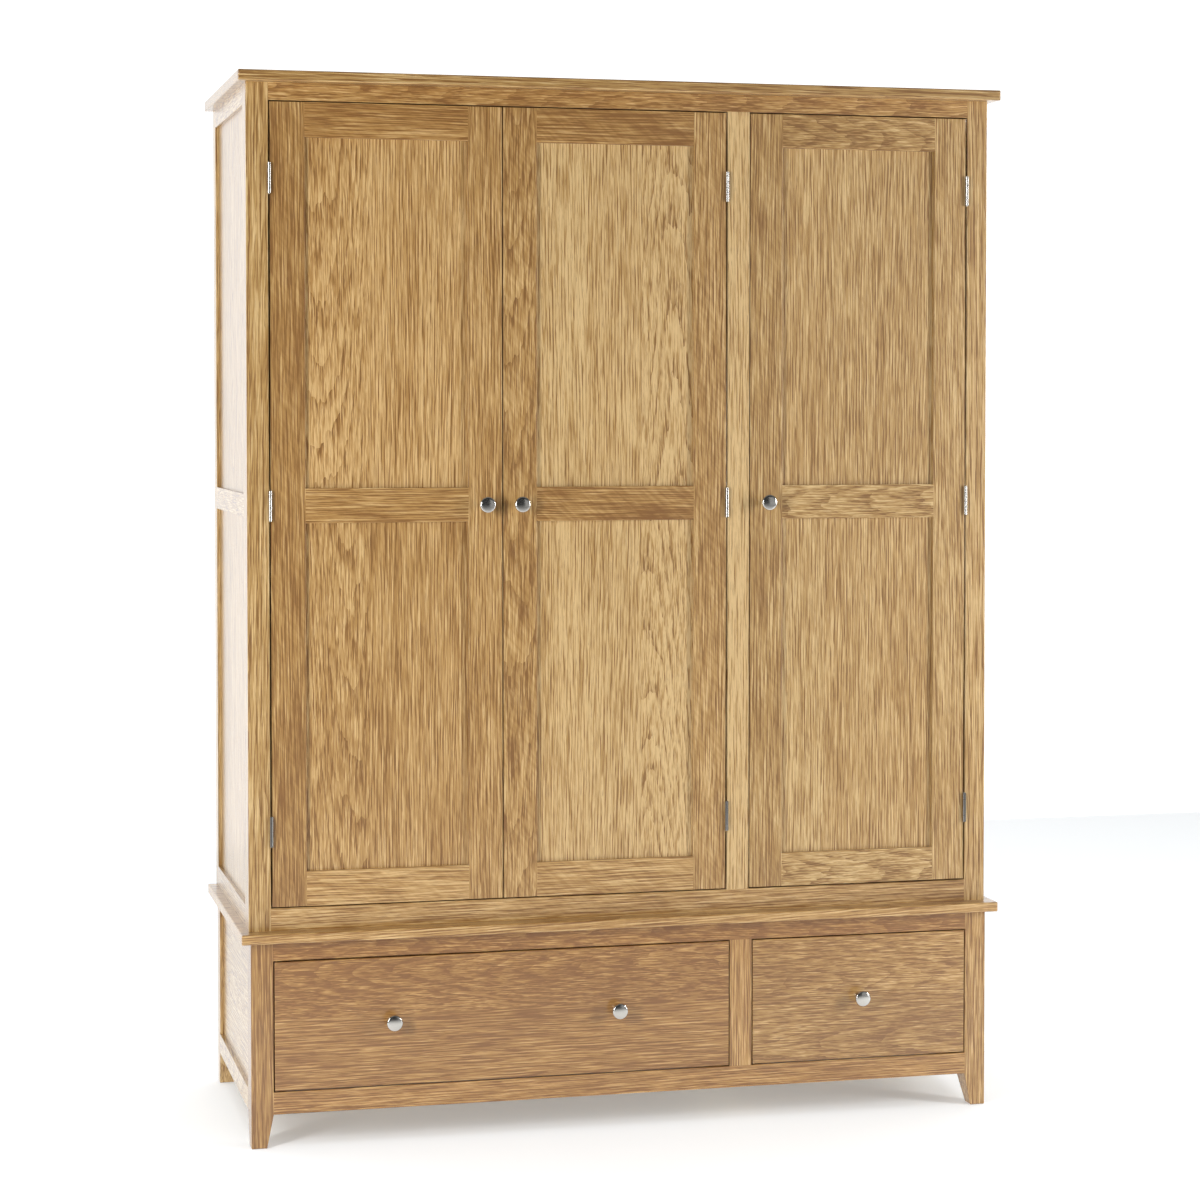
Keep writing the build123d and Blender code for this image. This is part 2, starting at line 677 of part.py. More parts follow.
# Drawers: a solid front, a box of two sides and a back, and a bottom held in grooves
bottom_z = (
    drawer_side_bottom + drawer_bottom_height,
    drawer_side_bottom + drawer_bottom_height + drawer_bottom_thickness,
)
bottom_groove_z = (bottom_z[0] - groove_play, bottom_z[1] + groove_play)
box_end = back_frame_front - drawer_rear_gap
for name, drawer in drawers.items():
    low, high = drawer["box"]
    inner = (low + drawer_side_thickness, high - drawer_side_thickness)
    middle = (drawer["front"][0] + drawer["front"][1]) / 2
    knob_height = (drawer_z[0] + drawer_z[1]) / 2
    knob_places = [Pos(middle + step * knob_spacing, base_front, knob_height) for step in drawer["knobs"]]
    bottom_x = (inner[0] - drawer_groove_depth, inner[1] + drawer_groove_depth)
    bottom_cut = block(bottom_x, (base_frame_back - drawer_groove_depth, box_end), bottom_groove_z)
    front = block(drawer["front"], base_front_y, drawer_z) - bottom_cut
    for place in knob_places:
        front -= place * bolt_cut
    side_z = (drawer_side_bottom, drawer_side_top)
    sides = [
        block(x, (base_frame_back, box_end), side_z) - bottom_cut
        for x in ((low, inner[0]), (inner[1], high))
    ]
    rear_z = (bottom_groove_z[1], drawer_side_top - drawer_back_drop)
    rear = block(inner, (box_end - drawer_side_thickness, box_end), rear_z)
    bottom_size = (bottom_x[0] + tenon_gap, bottom_x[1] - tenon_gap)
    bottom_y = (base_frame_back - drawer_groove_depth + tenon_gap, box_end)
    save(f"drawer_{name}_front", [front])
    save(f"drawer_{name}_sides_and_back", sides + [rear])
    save(f"drawer_{name}_bottom", [block(bottom_size, bottom_y, bottom_z)])
    save(f"drawer_{name}_knobs", [place * piece for place in knob_places for piece in (knob(), bolt())])
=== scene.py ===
import json
import math
import random
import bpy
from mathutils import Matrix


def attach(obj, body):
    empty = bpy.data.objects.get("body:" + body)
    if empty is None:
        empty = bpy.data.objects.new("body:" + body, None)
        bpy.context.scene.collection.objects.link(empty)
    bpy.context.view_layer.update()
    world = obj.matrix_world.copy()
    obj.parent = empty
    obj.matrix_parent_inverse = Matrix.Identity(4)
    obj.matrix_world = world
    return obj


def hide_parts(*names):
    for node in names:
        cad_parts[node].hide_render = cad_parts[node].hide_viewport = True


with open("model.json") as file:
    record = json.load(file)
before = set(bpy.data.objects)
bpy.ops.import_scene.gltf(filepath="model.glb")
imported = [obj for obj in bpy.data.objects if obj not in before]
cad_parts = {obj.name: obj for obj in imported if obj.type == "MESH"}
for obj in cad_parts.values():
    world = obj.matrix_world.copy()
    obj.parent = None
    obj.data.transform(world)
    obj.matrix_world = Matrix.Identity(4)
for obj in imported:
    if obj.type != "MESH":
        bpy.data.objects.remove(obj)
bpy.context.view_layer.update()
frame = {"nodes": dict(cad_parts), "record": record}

import zlib

import bmesh
import bpy
import numpy as np
from bpy.props import FloatProperty, FloatVectorProperty, IntProperty, PointerProperty
from bpy.types import Operator, Panel, PropertyGroup
from mathutils import Vector

# A three-door oak wardrobe on a two-drawer base: every piece's finished shape and finish.
# Metres, +X to the right, +Y to the back, +Z up, as the loaded frame.

bl_info = {
    "name": "Three-door oak wardrobe",
    "version": (1, 0, 0),
    "blender": (4, 5, 0),
    "location": "3D View > Sidebar > Wardrobe",
    "description": "Finishes a framed oak wardrobe with its doors, drawers, hinges and knobs",
    "category": "Add Mesh",
}

MM = 0.001
MERGE = 0.00001  # corners nearer than this are one corner
DOORS = ("left", "middle", "right")
DRAWERS = ("wide", "narrow")
PLACE = "board_place"  # along the grain, across the growth rings' middle, and depth in the log
LOOK = "board_look"  # tone, figure and warmth of the board; on some boards the tone holds painted shade and sheen
ARRIS = "board_arris"  # 1 on an eased edge, which the oak lightens there as a painted highlight
FACING = "facing"  # the way that a screw's head looks
FLAT_SAWN = "f"  # the other cut, "r", is rift-sawn, with the pith off to one side


# Sizes and colours


class OakSettings(PropertyGroup):
    """Colours and figure of the lacquered oak."""

    pale: FloatVectorProperty(
        name="Pale", description="Lightest wood", subtype="COLOR", default=(0.655, 0.465, 0.222)
    )
    honey: FloatVectorProperty(
        name="Honey", description="Usual wood", subtype="COLOR", default=(0.415, 0.245, 0.078)
    )
    brown: FloatVectorProperty(
        name="Brown", description="Darkest wood", subtype="COLOR", default=(0.215, 0.100, 0.024)
    )
    pore: FloatVectorProperty(
        name="Pores", description="Open pores", subtype="COLOR", default=(0.17, 0.078, 0.022)
    )
    ring: FloatProperty(
        name="Ring width", description="Width of a year's growth", default=5.2 * MM, unit="LENGTH"
    )
    roughness: FloatProperty(
        name="Roughness", description="Of the satin lacquer", default=0.42, subtype="FACTOR"
    )


class InnerTimberSettings(PropertyGroup):
    """Colours of the plain timber inside."""

    pale: FloatVectorProperty(
        name="Pale", description="Lightest wood", subtype="COLOR", default=(0.80, 0.66, 0.43)
    )
    honey: FloatVectorProperty(
        name="Honey", description="Usual wood", subtype="COLOR", default=(0.68, 0.50, 0.27)
    )
    brown: FloatVectorProperty(
        name="Brown", description="Darkest wood", subtype="COLOR", default=(0.46, 0.29, 0.12)
    )
    pore: FloatVectorProperty(
        name="Pores", description="Resin lines", subtype="COLOR", default=(0.40, 0.24, 0.10)
    )
    ring: FloatProperty(
        name="Ring width", description="Width of a year's growth", default=5.2 * MM, unit="LENGTH"
    )
    roughness: FloatProperty(
        name="Roughness", description="Of the planed face", default=0.6, subtype="FACTOR"
    )


class JoinerySettings(PropertyGroup):
    """How the timber and the metal plates are eased."""

    arris: FloatProperty(
        name="Arris", description="Width of an eased edge", default=1.1 * MM, unit="LENGTH"
    )
    arris_steps: IntProperty(name="Arris steps", description="Facets of an eased edge", default=3)
    metal_arris: FloatProperty(
        name="Metal arris", description="Eased edge of the plates", default=0.22 * MM, unit="LENGTH"
    )


class HardwareSettings(PropertyGroup):
    """Sizes of the hinge screws, and colours of the metal and plastic."""

    head_radius: FloatProperty(
        name="Head radius", description="Of a screw's flat head", default=2.9 * MM, unit="LENGTH"
    )
    head_height: FloatProperty(
        name="Head height", description="Of the countersink", default=1.6 * MM, unit="LENGTH"
    )
    shank_radius: FloatProperty(
        name="Shank radius", description="Below the head", default=1.5 * MM, unit="LENGTH"
    )
    length: FloatProperty(name="Length", description="Head and shank", default=14 * MM, unit="LENGTH")
    recess_width: FloatProperty(
        name="Recess width", description="Across a slot of the cross", default=0.75 * MM, unit="LENGTH"
    )
    recess_reach: FloatProperty(
        name="Recess reach", description="From tip to tip of the cross", default=3.1 * MM, unit="LENGTH"
    )
    recess_depth: FloatProperty(
        name="Recess depth", description="Of the cross", default=1.1 * MM, unit="LENGTH"
    )
    knob_steps: IntProperty(name="Knob steps", description="Facets round a knob", default=96)
    nickel: FloatVectorProperty(
        name="Nickel", description="Polished knobs", subtype="COLOR", default=(0.60, 0.585, 0.55)
    )
    satin: FloatVectorProperty(
        name="Satin", description="Hinges and screws", subtype="COLOR", default=(0.33, 0.32, 0.30)
    )
    chrome: FloatVectorProperty(
        name="Chrome", description="Hanging rails", subtype="COLOR", default=(0.80, 0.81, 0.82)
    )
    zinc: FloatVectorProperty(
        name="Zinc", description="Strike plates", subtype="COLOR", default=(0.62, 0.63, 0.64)
    )
    plastic: FloatVectorProperty(
        name="Plastic", description="Magnetic catches", subtype="COLOR", default=(0.80, 0.77, 0.70)
    )


class StageSettings(PropertyGroup):
    """Camera, floor and lights."""

    camera_place: FloatVectorProperty(
        name="Camera", description="Where it stands", default=(-1.28697, -5.24658, 1.31701), unit="LENGTH"
    )
    camera_turn: FloatProperty(
        name="Turn", description="To the right", default=math.radians(13.86), subtype="ANGLE"
    )
    camera_tilt: FloatProperty(
        name="Tilt", description="Below the horizon", default=math.radians(1.91), subtype="ANGLE"
    )
    lens: FloatProperty(name="Lens", description="Focal length in millimetres", default=85.09)
    shift: FloatProperty(name="Shift", description="Share of the frame's width", default=-0.0824)
    floor: FloatVectorProperty(
        name="Floor", description="Pale floor", subtype="COLOR", default=(0.8, 0.8, 0.8)
    )
    floor_reach: FloatProperty(
        name="Floor reach", description="To each side and forwards", default=16.0, unit="LENGTH"
    )
    floor_edge: FloatProperty(
        name="Floor edge", description="How far the floor goes back", default=3.2, unit="LENGTH"
    )
    glow: FloatProperty(name="Floor glow", description="Lifts the shadow on the floor", default=0.27)
    room: FloatProperty(name="Room light", description="From all round", default=0.05)
    backdrop_place: FloatProperty(
        name="Backdrop place", description="Behind the wardrobe", default=7.5, unit="LENGTH"
    )
    backdrop_reach: FloatProperty(
        name="Backdrop reach", description="To each side", default=26.0, unit="LENGTH"
    )
    backdrop_foot: FloatProperty(
        name="Backdrop foot", description="Below the floor", default=-4.0, unit="LENGTH"
    )
    backdrop_top: FloatProperty(
        name="Backdrop top", description="Above the floor", default=16.0, unit="LENGTH"
    )
    backdrop: FloatProperty(name="Backdrop", description="Brightness of the wall behind", default=1.22)
    overhead: FloatProperty(
        name="Overhead", description="Large softbox above", default=28.0, subtype="POWER"
    )
    floor_light: FloatProperty(
        name="Floor light", description="Lights the floor only", default=205.0, subtype="POWER"
    )
    key: FloatProperty(name="Key light", description="Left softbox", default=77.0, subtype="POWER")
    side: FloatProperty(name="Side light", description="Right softbox", default=95.0, subtype="POWER")
    fill: FloatProperty(name="Fill light", description="Front sheet", default=7.0, subtype="POWER")


# Materials


class Value:
    """A number in a material's node tree that plain arithmetic can be written on."""

    def __init__(self, finish, socket):
        self.finish = finish
        self.socket = socket

    def maths(self, operation, *operands, clamp=False):
        settings = {"operation": operation, "use_clamp": clamp}
        node = self.finish.node("ShaderNodeMath", settings, dict(enumerate(operands)))
        return Value(self.finish, node.outputs[0])

    def __add__(self, other):
        return self.maths("ADD", self, other)

    def __radd__(self, other):
        return self.maths("ADD", other, self)

    def __sub__(self, other):
        return self.maths("SUBTRACT", self, other)

    def __rsub__(self, other):
        return self.maths("SUBTRACT", other, self)

    def __mul__(self, other):
        return self.maths("MULTIPLY", self, other)

    def __rmul__(self, other):
        return self.maths("MULTIPLY", other, self)

    def __truediv__(self, other):
        return self.maths("DIVIDE", self, other)

    def __pow__(self, other):
        return self.maths("POWER", self, other)

    def fraction(self):
        """What is left over past the whole number."""
        return self.maths("FRACT", self)

    def clamped(self):
        """The number held between 0 and 1."""
        return self.maths("ADD", self, 0.0, clamp=True)

    def between(self, low, high):
        """0 below low, 1 above high, and a smooth rise in between."""
        settings = {"interpolation_type": "SMOOTHSTEP"}
        node = self.finish.node("ShaderNodeMapRange", settings, {0: self, 1: low, 2: high})
        return Value(self.finish, node.outputs[0])


class Finish:
    """A material while it is made: its node tree, and short ways to add to it."""

    def __init__(self, name):
        self.material = bpy.data.materials.new(name)
        self.material.use_nodes = True
        self.tree = self.material.node_tree
        self.tree.nodes.clear()

    def node(self, kind, settings=None, inputs=None):
        """A node of any type: its settings first, then the values or links of its sockets."""
        made = self.tree.nodes.new(kind)
        for name, value in (settings or {}).items():
            if name == "stops":
                while len(made.color_ramp.elements) < len(value):
                    made.color_ramp.elements.new(0.5)
                for stop, (place, colour) in zip(made.color_ramp.elements, value):
                    stop.position = place
                    stop.color = (*colour, 1.0)
            else:
                setattr(made, name, value)
        for name, value in (inputs or {}).items():
            source = value.socket if isinstance(value, Value) else value
            if isinstance(source, bpy.types.NodeSocket):
                self.tree.links.new(source, made.inputs[name])
            else:
                made.inputs[name].default_value = source
        return made

    def attribute(self, name):
        """What a mesh attribute says at each point of the surface."""
        return self.node("ShaderNodeAttribute", {"attribute_name": name})

    def object_place(self):
        """Each point's place in metres, from the object's origin."""
        return self.node("ShaderNodeTexCoord").outputs["Object"]

    def parts(self, vector):
        """The three numbers of a vector."""
        node = self.node("ShaderNodeSeparateXYZ", None, {0: vector})
        return [Value(self, output) for output in node.outputs]

    def stretched(self, vector, scale):
        """A vector with each of its numbers multiplied by its own scale."""
        node = self.node("ShaderNodeVectorMath", {"operation": "MULTIPLY"}, {0: vector, 1: scale})
        return node.outputs[0]

    def noise(self, vector, scale, detail=2.0, rough=0.5):
        """Noise from 0 to 1 with so many grains in a metre along each axis."""
        inputs = {
            "Vector": self.stretched(vector, scale),
            "Scale": 1.0,
            "Detail": detail,
            "Roughness": rough,
        }
        return Value(self, self.node("ShaderNodeTexNoise", None, inputs).outputs["Fac"])

    def mixed(self, share, first, second, blend="MIX"):
        """The first colour with a share of the second one mixed in."""
        settings = {"data_type": "RGBA", "blend_type": blend, "clamp_factor": True}
        node = self.node("ShaderNodeMix", settings, {0: share, 6: first, 7: second})
        return node.outputs[2]

    def ramp(self, share, stops):
        """The colour at a share of the way along some stops."""
        return self.node("ShaderNodeValToRGB", {"stops": stops}, {0: share}).outputs[0]

    def bump(self, height, strength, distance):
        """The surface's direction over small hills, whose distance is in metres."""
        inputs = {"Height": height, "Strength": strength, "Distance": distance}
        return self.node("ShaderNodeBump", None, inputs).outputs[0]

    def done(self, inputs):
        """Close the tree with the surface shader."""
        shader = self.node("ShaderNodeBsdfPrincipled", None, inputs)
        self.node("ShaderNodeOutputMaterial", None, {"Surface": shader.outputs[0]})
        return self.material


def opaque(colour):
    """A colour with its fourth number, as a socket takes it."""
    return (*colour, 1.0)


def timber_finish(name, wood, line, pore_share, coat):
    """Planed timber: growth rings cut by the board's face, vessel lines, pores, rays and mottle.

    The line is how dark the early wood is, and each noise has its grains in a metre along, across
    and into the board.
    """
    finish = Finish(name)
    place = finish.attribute(PLACE).outputs["Vector"]
    tone, figure, warmth = finish.parts(finish.attribute(LOOK).outputs["Vector"])
    arris = Value(finish, finish.attribute(ARRIS).outputs["Fac"])
    along, across, deep = finish.parts(place)
    wander = (finish.noise(place, (1.2, 7.0, 7.0)) - 0.5) * 0.030
    ripple = (finish.noise(place, (8.0, 30.0, 30.0)) - 0.5) * 0.006
    jag = (finish.noise(place, (26.0, 120.0, 120.0)) - 0.5) * 0.0026
    radius = (across * across + deep * deep) ** 0.5 + wander + ripple + jag
    early = (1.0 - (radius / wood.ring).fraction()) ** 2.2
    vessels = finish.noise(place, (11.0, 430.0, 430.0), 2.0, 0.6).between(0.46, 0.60)
    glints = finish.noise(place, (9.0, 400.0, 400.0), 2.0, 0.6).between(0.50, 0.63)
    fibre = finish.noise(place, (7.0, 620.0, 620.0), 2.0, 0.6) - 0.5
    clouds = finish.noise(place, (2.4, 13.0, 13.0)) - 0.5
    patches = finish.noise(place, (8.0, 34.0, 34.0), 3.0, 0.6) - 0.5
    slanted = finish.node("ShaderNodeCombineXYZ", None, {0: along + across * 1.2, 1: across, 2: deep})
    rays = (finish.noise(slanted.outputs[0], (95.0, 26.0, 26.0), 1.0) - 0.5) * figure
    dark = early * line * (vessels * 1.1 + 0.5) + vessels * (line * 0.75)
    light = glints * 0.38 + fibre * 0.8 + clouds * 0.55 + patches * (figure + 0.15) + rays * 1.3
    level = (tone + light - dark + (0.43 + line * 0.5)).clamped()
    stops = ((0.0, wood.brown), (0.5, wood.honey), (1.0, wood.pale))
    colour = finish.ramp(level, stops)
    colour = finish.mixed(warmth, colour, opaque((1.0, 0.84, 0.66)), "MULTIPLY")
    pores = finish.noise(place, (50.0, 900.0, 900.0)).between(0.54, 0.68) * (early * 0.7 + 0.3)
    colour = finish.mixed(pores * pore_share, colour, opaque(wood.pore))
    # Painted highlight: eased edges are mixed towards the pale wood so that they read as bright lines
    colour = finish.mixed(arris * (clouds + 0.75) * 0.6, colour, opaque(wood.pale))
    rough = pores * 0.22 + fibre * 0.10 - arris * 0.06 + wood.roughness
    relief = finish.bump(fibre * 0.3 - pores - vessels * 0.4, 0.35, 0.00025)
    inputs = {"Base Color": colour, "Roughness": rough, "Normal": relief}
    return finish.done({**inputs, "Coat Weight": coat, "Coat Roughness": 0.20})


def metal_finish(name, colour, roughness, brushed):
    """Plated metal: a faint cloudiness, fine brushed lines and handling marks."""
    finish = Finish(name)
    place = finish.object_place()
    cloud = finish.noise(place, (60.0, 60.0, 60.0))
    lines = finish.noise(place, (240.0, 240.0, 5200.0), 2.0, 0.6) - 0.5
    marks = finish.noise(place, (900.0, 900.0, 900.0), 3.0).between(0.55, 0.8)
    darker = tuple(0.78 * part for part in colour)
    tint = finish.mixed(cloud * 0.45 + marks * 0.25, opaque(colour), opaque(darker))
    rough = cloud * 0.06 + lines * brushed + marks * 0.06 + (roughness - 0.02)
    relief = finish.bump(lines * brushed + marks * 0.05, 0.05, 0.00002)
    return finish.done({"Base Color": tint, "Metallic": 1.0, "Roughness": rough, "Normal": relief})


def plastic_finish(name, colour):
    """Moulded plastic with a fine spark-eroded texture."""
    finish = Finish(name)
    place = finish.object_place()
    grain = finish.noise(place, (1500.0, 1500.0, 1500.0), 2.0)
    cloud = finish.noise(place, (35.0, 35.0, 35.0))
    darker = tuple(0.86 * part for part in colour)
    tint = finish.mixed(cloud, opaque(colour), opaque(darker))
    relief = finish.bump(grain, 0.2, 0.00008)
    return finish.done({"Base Color": tint, "Roughness": grain * 0.15 + 0.42, "Normal": relief})


def floor_finish(name, colour, glow):
    """A pale floor, greyer far in front; its glow nearer the wardrobe is painted light that lifts the
    shadow.
    """
    finish = Finish(name)
    place = finish.object_place()
    near = finish.parts(place)[1].between(-2.2, -0.9)
    cloud = finish.noise(place, (0.7, 0.7, 0.7)) * 0.1
    darker = tuple(0.7 * part for part in colour)
    tint = finish.mixed(near * 0.9 + cloud, opaque(darker), opaque(colour))
    # Painted light: a faint blue glow near the wardrobe lifts its shadow on the floor
    lit = finish.mixed(near, opaque((0.0, 0.0, 0.0)), opaque((0.87, 0.95, 1.0)))
    light = {"Emission Color": lit, "Emission Strength": glow}
    return finish.done({"Base Color": tint, "Roughness": cloud + 0.75, **light})


def backdrop_finish(name, brightness):
    """A white wall lit by its own lamps, which takes no light from the others."""
    finish = Finish(name)
    dull = {"Base Color": opaque((0.0, 0.0, 0.0)), "Roughness": 1.0, "Specular IOR Level": 0.0}
    light = {"Emission Color": opaque((1.0, 1.0, 1.0)), "Emission Strength": brightness}
    return finish.done({**dull, **light})


finishes = {}


def finish_for(slot):
    """The finish of one of the record's material slots, made the first time that it is asked for."""
    scene = bpy.context.scene
    oak = scene.wardrobe_oak
    plain = scene.wardrobe_inner_timber
    metal = scene.wardrobe_hardware
    makers = {
        "oak": lambda: timber_finish("oak_lacquered", oak, line=0.48, pore_share=0.6, coat=1.0),
        "oak_panel": lambda: timber_finish("oak_veneered", oak, line=0.32, pore_share=0.5, coat=0.4),
        "inner_timber": lambda: timber_finish("planed_timber", plain, line=0.3, pore_share=0.3, coat=0.0),
        "nickel": lambda: metal_finish("nickel_brushed", metal.satin, roughness=0.07, brushed=0.03),
        "polished_nickel": lambda: metal_finish(
            "nickel_polished", metal.nickel, roughness=0.16, brushed=0.05
        ),
        "chrome": lambda: metal_finish("chrome_plate", metal.chrome, roughness=0.10, brushed=0.03),
        "steel_plate": lambda: metal_finish("zinc_plate", metal.zinc, roughness=0.36, brushed=0.12),
        "catch_plastic": lambda: plastic_finish("catch_plastic", metal.plastic),
    }
    if slot not in finishes:
        finishes[slot] = makers[slot]()
    return finishes[slot]


# Shapes shared by the pieces


def body_of(node):
    """The body that a CAD node rides on."""
    bodies = frame["record"]["behaviour"]["bodies"]
    return next(name for name, nodes in bodies.items() if node in nodes)


def add_piece(name, mesh, body, slot, *nodes):
    """Put a finished mesh in the scene, on its body, in place of its CAD nodes."""
    piece = bpy.data.objects.new(name, mesh)
    bpy.context.scene.collection.objects.link(piece)
    piece.data.materials.clear()
    piece.data.materials.append(finish_for(slot))
    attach(piece, body)
    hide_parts(*nodes)
    return piece


def separate_solids(node):
    """Each solid of a CAD node as (corners, triangles), from the left, front and bottom on.

    Solids that touch may share an edge, which then has more than two triangles and joins nothing.
    """
    mesh = frame["nodes"][node].data
    corners = np.array([corner.co for corner in mesh.vertices])
    steps = np.round(corners / MERGE).astype(np.int64)
    _, first, merged = np.unique(steps, axis=0, return_index=True, return_inverse=True)
    merged = merged.reshape(-1)
    triangles = [tuple(int(merged[i]) for i in face.vertices) for face in mesh.polygons]
    triangles = [face for face in triangles if len(set(face)) == len(face)]
    beside = {}
    for index, face in enumerate(triangles):
        for start, end in zip(face, face[1:] + face[:1]):
            beside.setdefault((min(start, end), max(start, end)), []).append(index)
    root = list(range(len(triangles)))

    def find(index):
        while root[index] != index:
            root[index] = root[root[index]]
            index = root[index]
        return index

    for faces in beside.values():
        if len(faces) == 2:
            root[find(faces[0])] = find(faces[1])
    groups = {}
    for index, face in enumerate(triangles):
        groups.setdefault(find(index), []).append(face)
    solids = []
    for faces in groups.values():
        used = sorted({corner for face in faces for corner in face})
        number = {corner: index for index, corner in enumerate(used)}
        places = [Vector(corners[first[corner]]) for corner in used]
        solids.append((places, [tuple(number[corner] for corner in face) for face in faces]))

    def order(solid):
        low, high = box_of(solid[0])
        return tuple(round(value, 4) for value in low + high)

    return sorted(solids, key=order)


def solid_mesh(corners, faces):
    """A bmesh of one solid whose flat faces are whole again."""
    shape = bmesh.new()
    points = [shape.verts.new(corner) for corner in corners]
    for face in faces:
        shape.faces.new([points[corner] for corner in face])
    flat = math.radians(0.5)
    bmesh.ops.dissolve_limit(shape, angle_limit=flat, verts=shape.verts[:], edges=shape.edges[:])
    return shape


def box_of(corners):
    """The lowest and highest corner of the box round some corners."""
    low = Vector([min(corner[axis] for corner in corners) for axis in range(3)])
    high = Vector([max(corner[axis] for corner in corners) for axis in range(3)])
    return low, high


def joined(shapes, name):
    """One mesh made of several bmeshes, which are freed."""
    mesh = bpy.data.meshes.new(name)
    whole = bmesh.new()
    for shape in shapes:
        part = bpy.data.meshes.new("part")
        shape.to_mesh(part)
        shape.free()
        whole.from_mesh(part)
        bpy.data.meshes.remove(part)
    whole.to_mesh(mesh)
    whole.free()
    return mesh


# Timber


class Board:
    """One solid piece of timber and how it was cut from the log."""

    def __init__(self, node, index, corners, faces):
        self.node = node
        self.index = index
        self.corners = corners
        self.faces = faces
        self.low, self.high = box_of(corners)
        self.size = self.high - self.low

    def axes(self, grain):
        """Axis numbers along the grain, across the board's width and through its thickness."""
        along = max(range(3), key=lambda axis: self.size[axis]) if grain is None else grain
        width, thickness = sorted((a for a in range(3) if a != along), key=lambda a: -self.size[a])
        return along, width, thickness


# How each node's boards were sawn, glued up and picked. Boards that aren't named are left to chance.

# Axis of the grain, where it isn't the longest
GRAIN = {"hat_shelves": 0, "drawer_wide_bottom": 0, "drawer_narrow_bottom": 0}
# Glue lines of wide boards, as shares of their width
GLUED = {
    "door_left_panels": (0.40, 0.69),
    "door_middle_panels": (0.33, 0.66),
    "door_right_panels": (0.30, 0.62),
    "drawer_wide_front": (0.55,),
    "drawer_narrow_front": (0.55,),
    "cornice": (0.07, 0.26, 0.45, 0.63, 0.82),
    "base_board": (0.08, 0.26, 0.46, 0.65, 0.83),
    "side_panels": (0.21, 0.44, 0.60, 0.82),
    "base_side_panels": (0.36, 0.62),
    "back_panels": (0.2, 0.4, 0.6, 0.8),
    "base_back_panel": (0.5,),
    "wardrobe_floor": (0.18, 0.36, 0.54, 0.72, 0.88),
    "hat_shelves": (0.2, 0.41, 0.6, 0.81),
    "partition": (0.2, 0.4, 0.62, 0.8),
    "base_divider": (0.45,),
}
# Flat-sawn or rift-sawn, by stave in a glued board and otherwise by board
CUTS = {
    "door_left_panels": "frr",
    "door_middle_panels": "rrf",
    "door_right_panels": "rrr",
    "door_left_rails": "rrr",
    "door_left_stiles": "rr",
    "door_middle_stiles": "fr",
    "door_right_stiles": "rr",
    "front_muntin": "r",
    "front_posts": "rr",
    "drawer_wide_front": "rf",
    "base_front_legs": "rr",
    "base_muntin": "r",
}
# Lighter or darker than usual, for the boards in order to the right, to the back and up. Mostly the
# boards' own tone, but the top rails are darker in part as painted shade under the cornice, the base's
# top rail is darker as painted shadow under the base board, and the muntin is lighter as a painted sheen.
TONES_AND_PAINTED_LIGHT = {
    "door_left_panels": (-0.02, 0.12),
    "door_middle_panels": (0.2, 0.23),
    "door_right_panels": (0.1, 0.02),
    "door_left_rails": (0.12, -0.09, -0.3),
    "door_middle_rails": (-0.04, -0.3, -0.28),
    "door_right_rails": (0.02, 0.02, -0.12),
    "door_left_stiles": (-0.3, -0.04),
    "door_middle_stiles": (-0.06, -0.1),
    "door_right_stiles": (-0.1, -0.01),
    "front_muntin": (0.42,),
    "front_posts": (0.02, 0.02),
    "front_rails": (-0.04, -0.24),
    "cornice": (-0.14,),
    "base_board": (0.08,),
    "drawer_wide_front": (-0.32,),
    "drawer_narrow_front": (-0.18,),
    "base_front_rails": (-0.12, -0.44),
    "base_front_legs": (-0.3, -0.1),
    "base_muntin": (-0.05,),
    "back_panels": (0.1,),
}
# Strength of the silvery ray figure
FIGURED = {
    "door_left_rails": 0.3,
    "door_left_stiles": 0.3,
    "door_middle_rails": 0.7,
    "door_middle_stiles": 0.4,
    "door_right_rails": 0.35,
    "door_right_stiles": 0.25,
    "front_rails": 0.25,
    "base_board": 0.3,
    "base_front_rails": 0.3,
    "drawer_narrow_front": 0.3,
}
PLAIN_FIGURE = 0.12
# Redder than usual
WARM = {
    "door_left_panels": 0.25,
    "door_left_rails": 0.3,
    "door_left_stiles": 0.2,
    "door_middle_rails": 0.3,
    "door_middle_stiles": 0.15,
    "front_rails": 0.3,
    "base_board": 0.3,
    "base_front_legs": 0.35,
    "base_front_rails": 0.65,
    "base_muntin": 0.65,
    "drawer_wide_front": 0.6,
    "drawer_narrow_front": 0.35,
}

boards = {}


def boards_of(node):
    """The boards of a timber node, found the first time that they are asked for."""
    if node not in boards:
        solids = separate_solids(node)
        boards[node] = [Board(node, index, *solid) for index, solid in enumerate(solids)]
    return boards[node]


def touching(board, others):
    """The boards whose boxes meet this board's."""
    room = 0.2 * MM

    def meets(other):
        near = (other.low[a] - room <= board.high[a] for a in range(3))
        far = (board.low[a] - room <= other.high[a] for a in range(3))
        return all(near) and all(far)

    return [other for other in others if other is not board and meets(other)]


def cut_across(shape, axis, level):
    """Add an edge loop all round the shape where it crosses a level."""
    place = Vector()
    place[axis] = level
    normal = Vector()
    normal[axis] = 1.0
    whole = shape.verts[:] + shape.edges[:] + shape.faces[:]
    bmesh.ops.bisect_plane(shape, geom=whole, dist=MERGE, plane_co=place, plane_no=normal)


def covered(point, others):
    """Whether a point is inside one of the boards."""
    return any(all(o.low[a] < point[a] < o.high[a] for a in range(3)) for o in others)


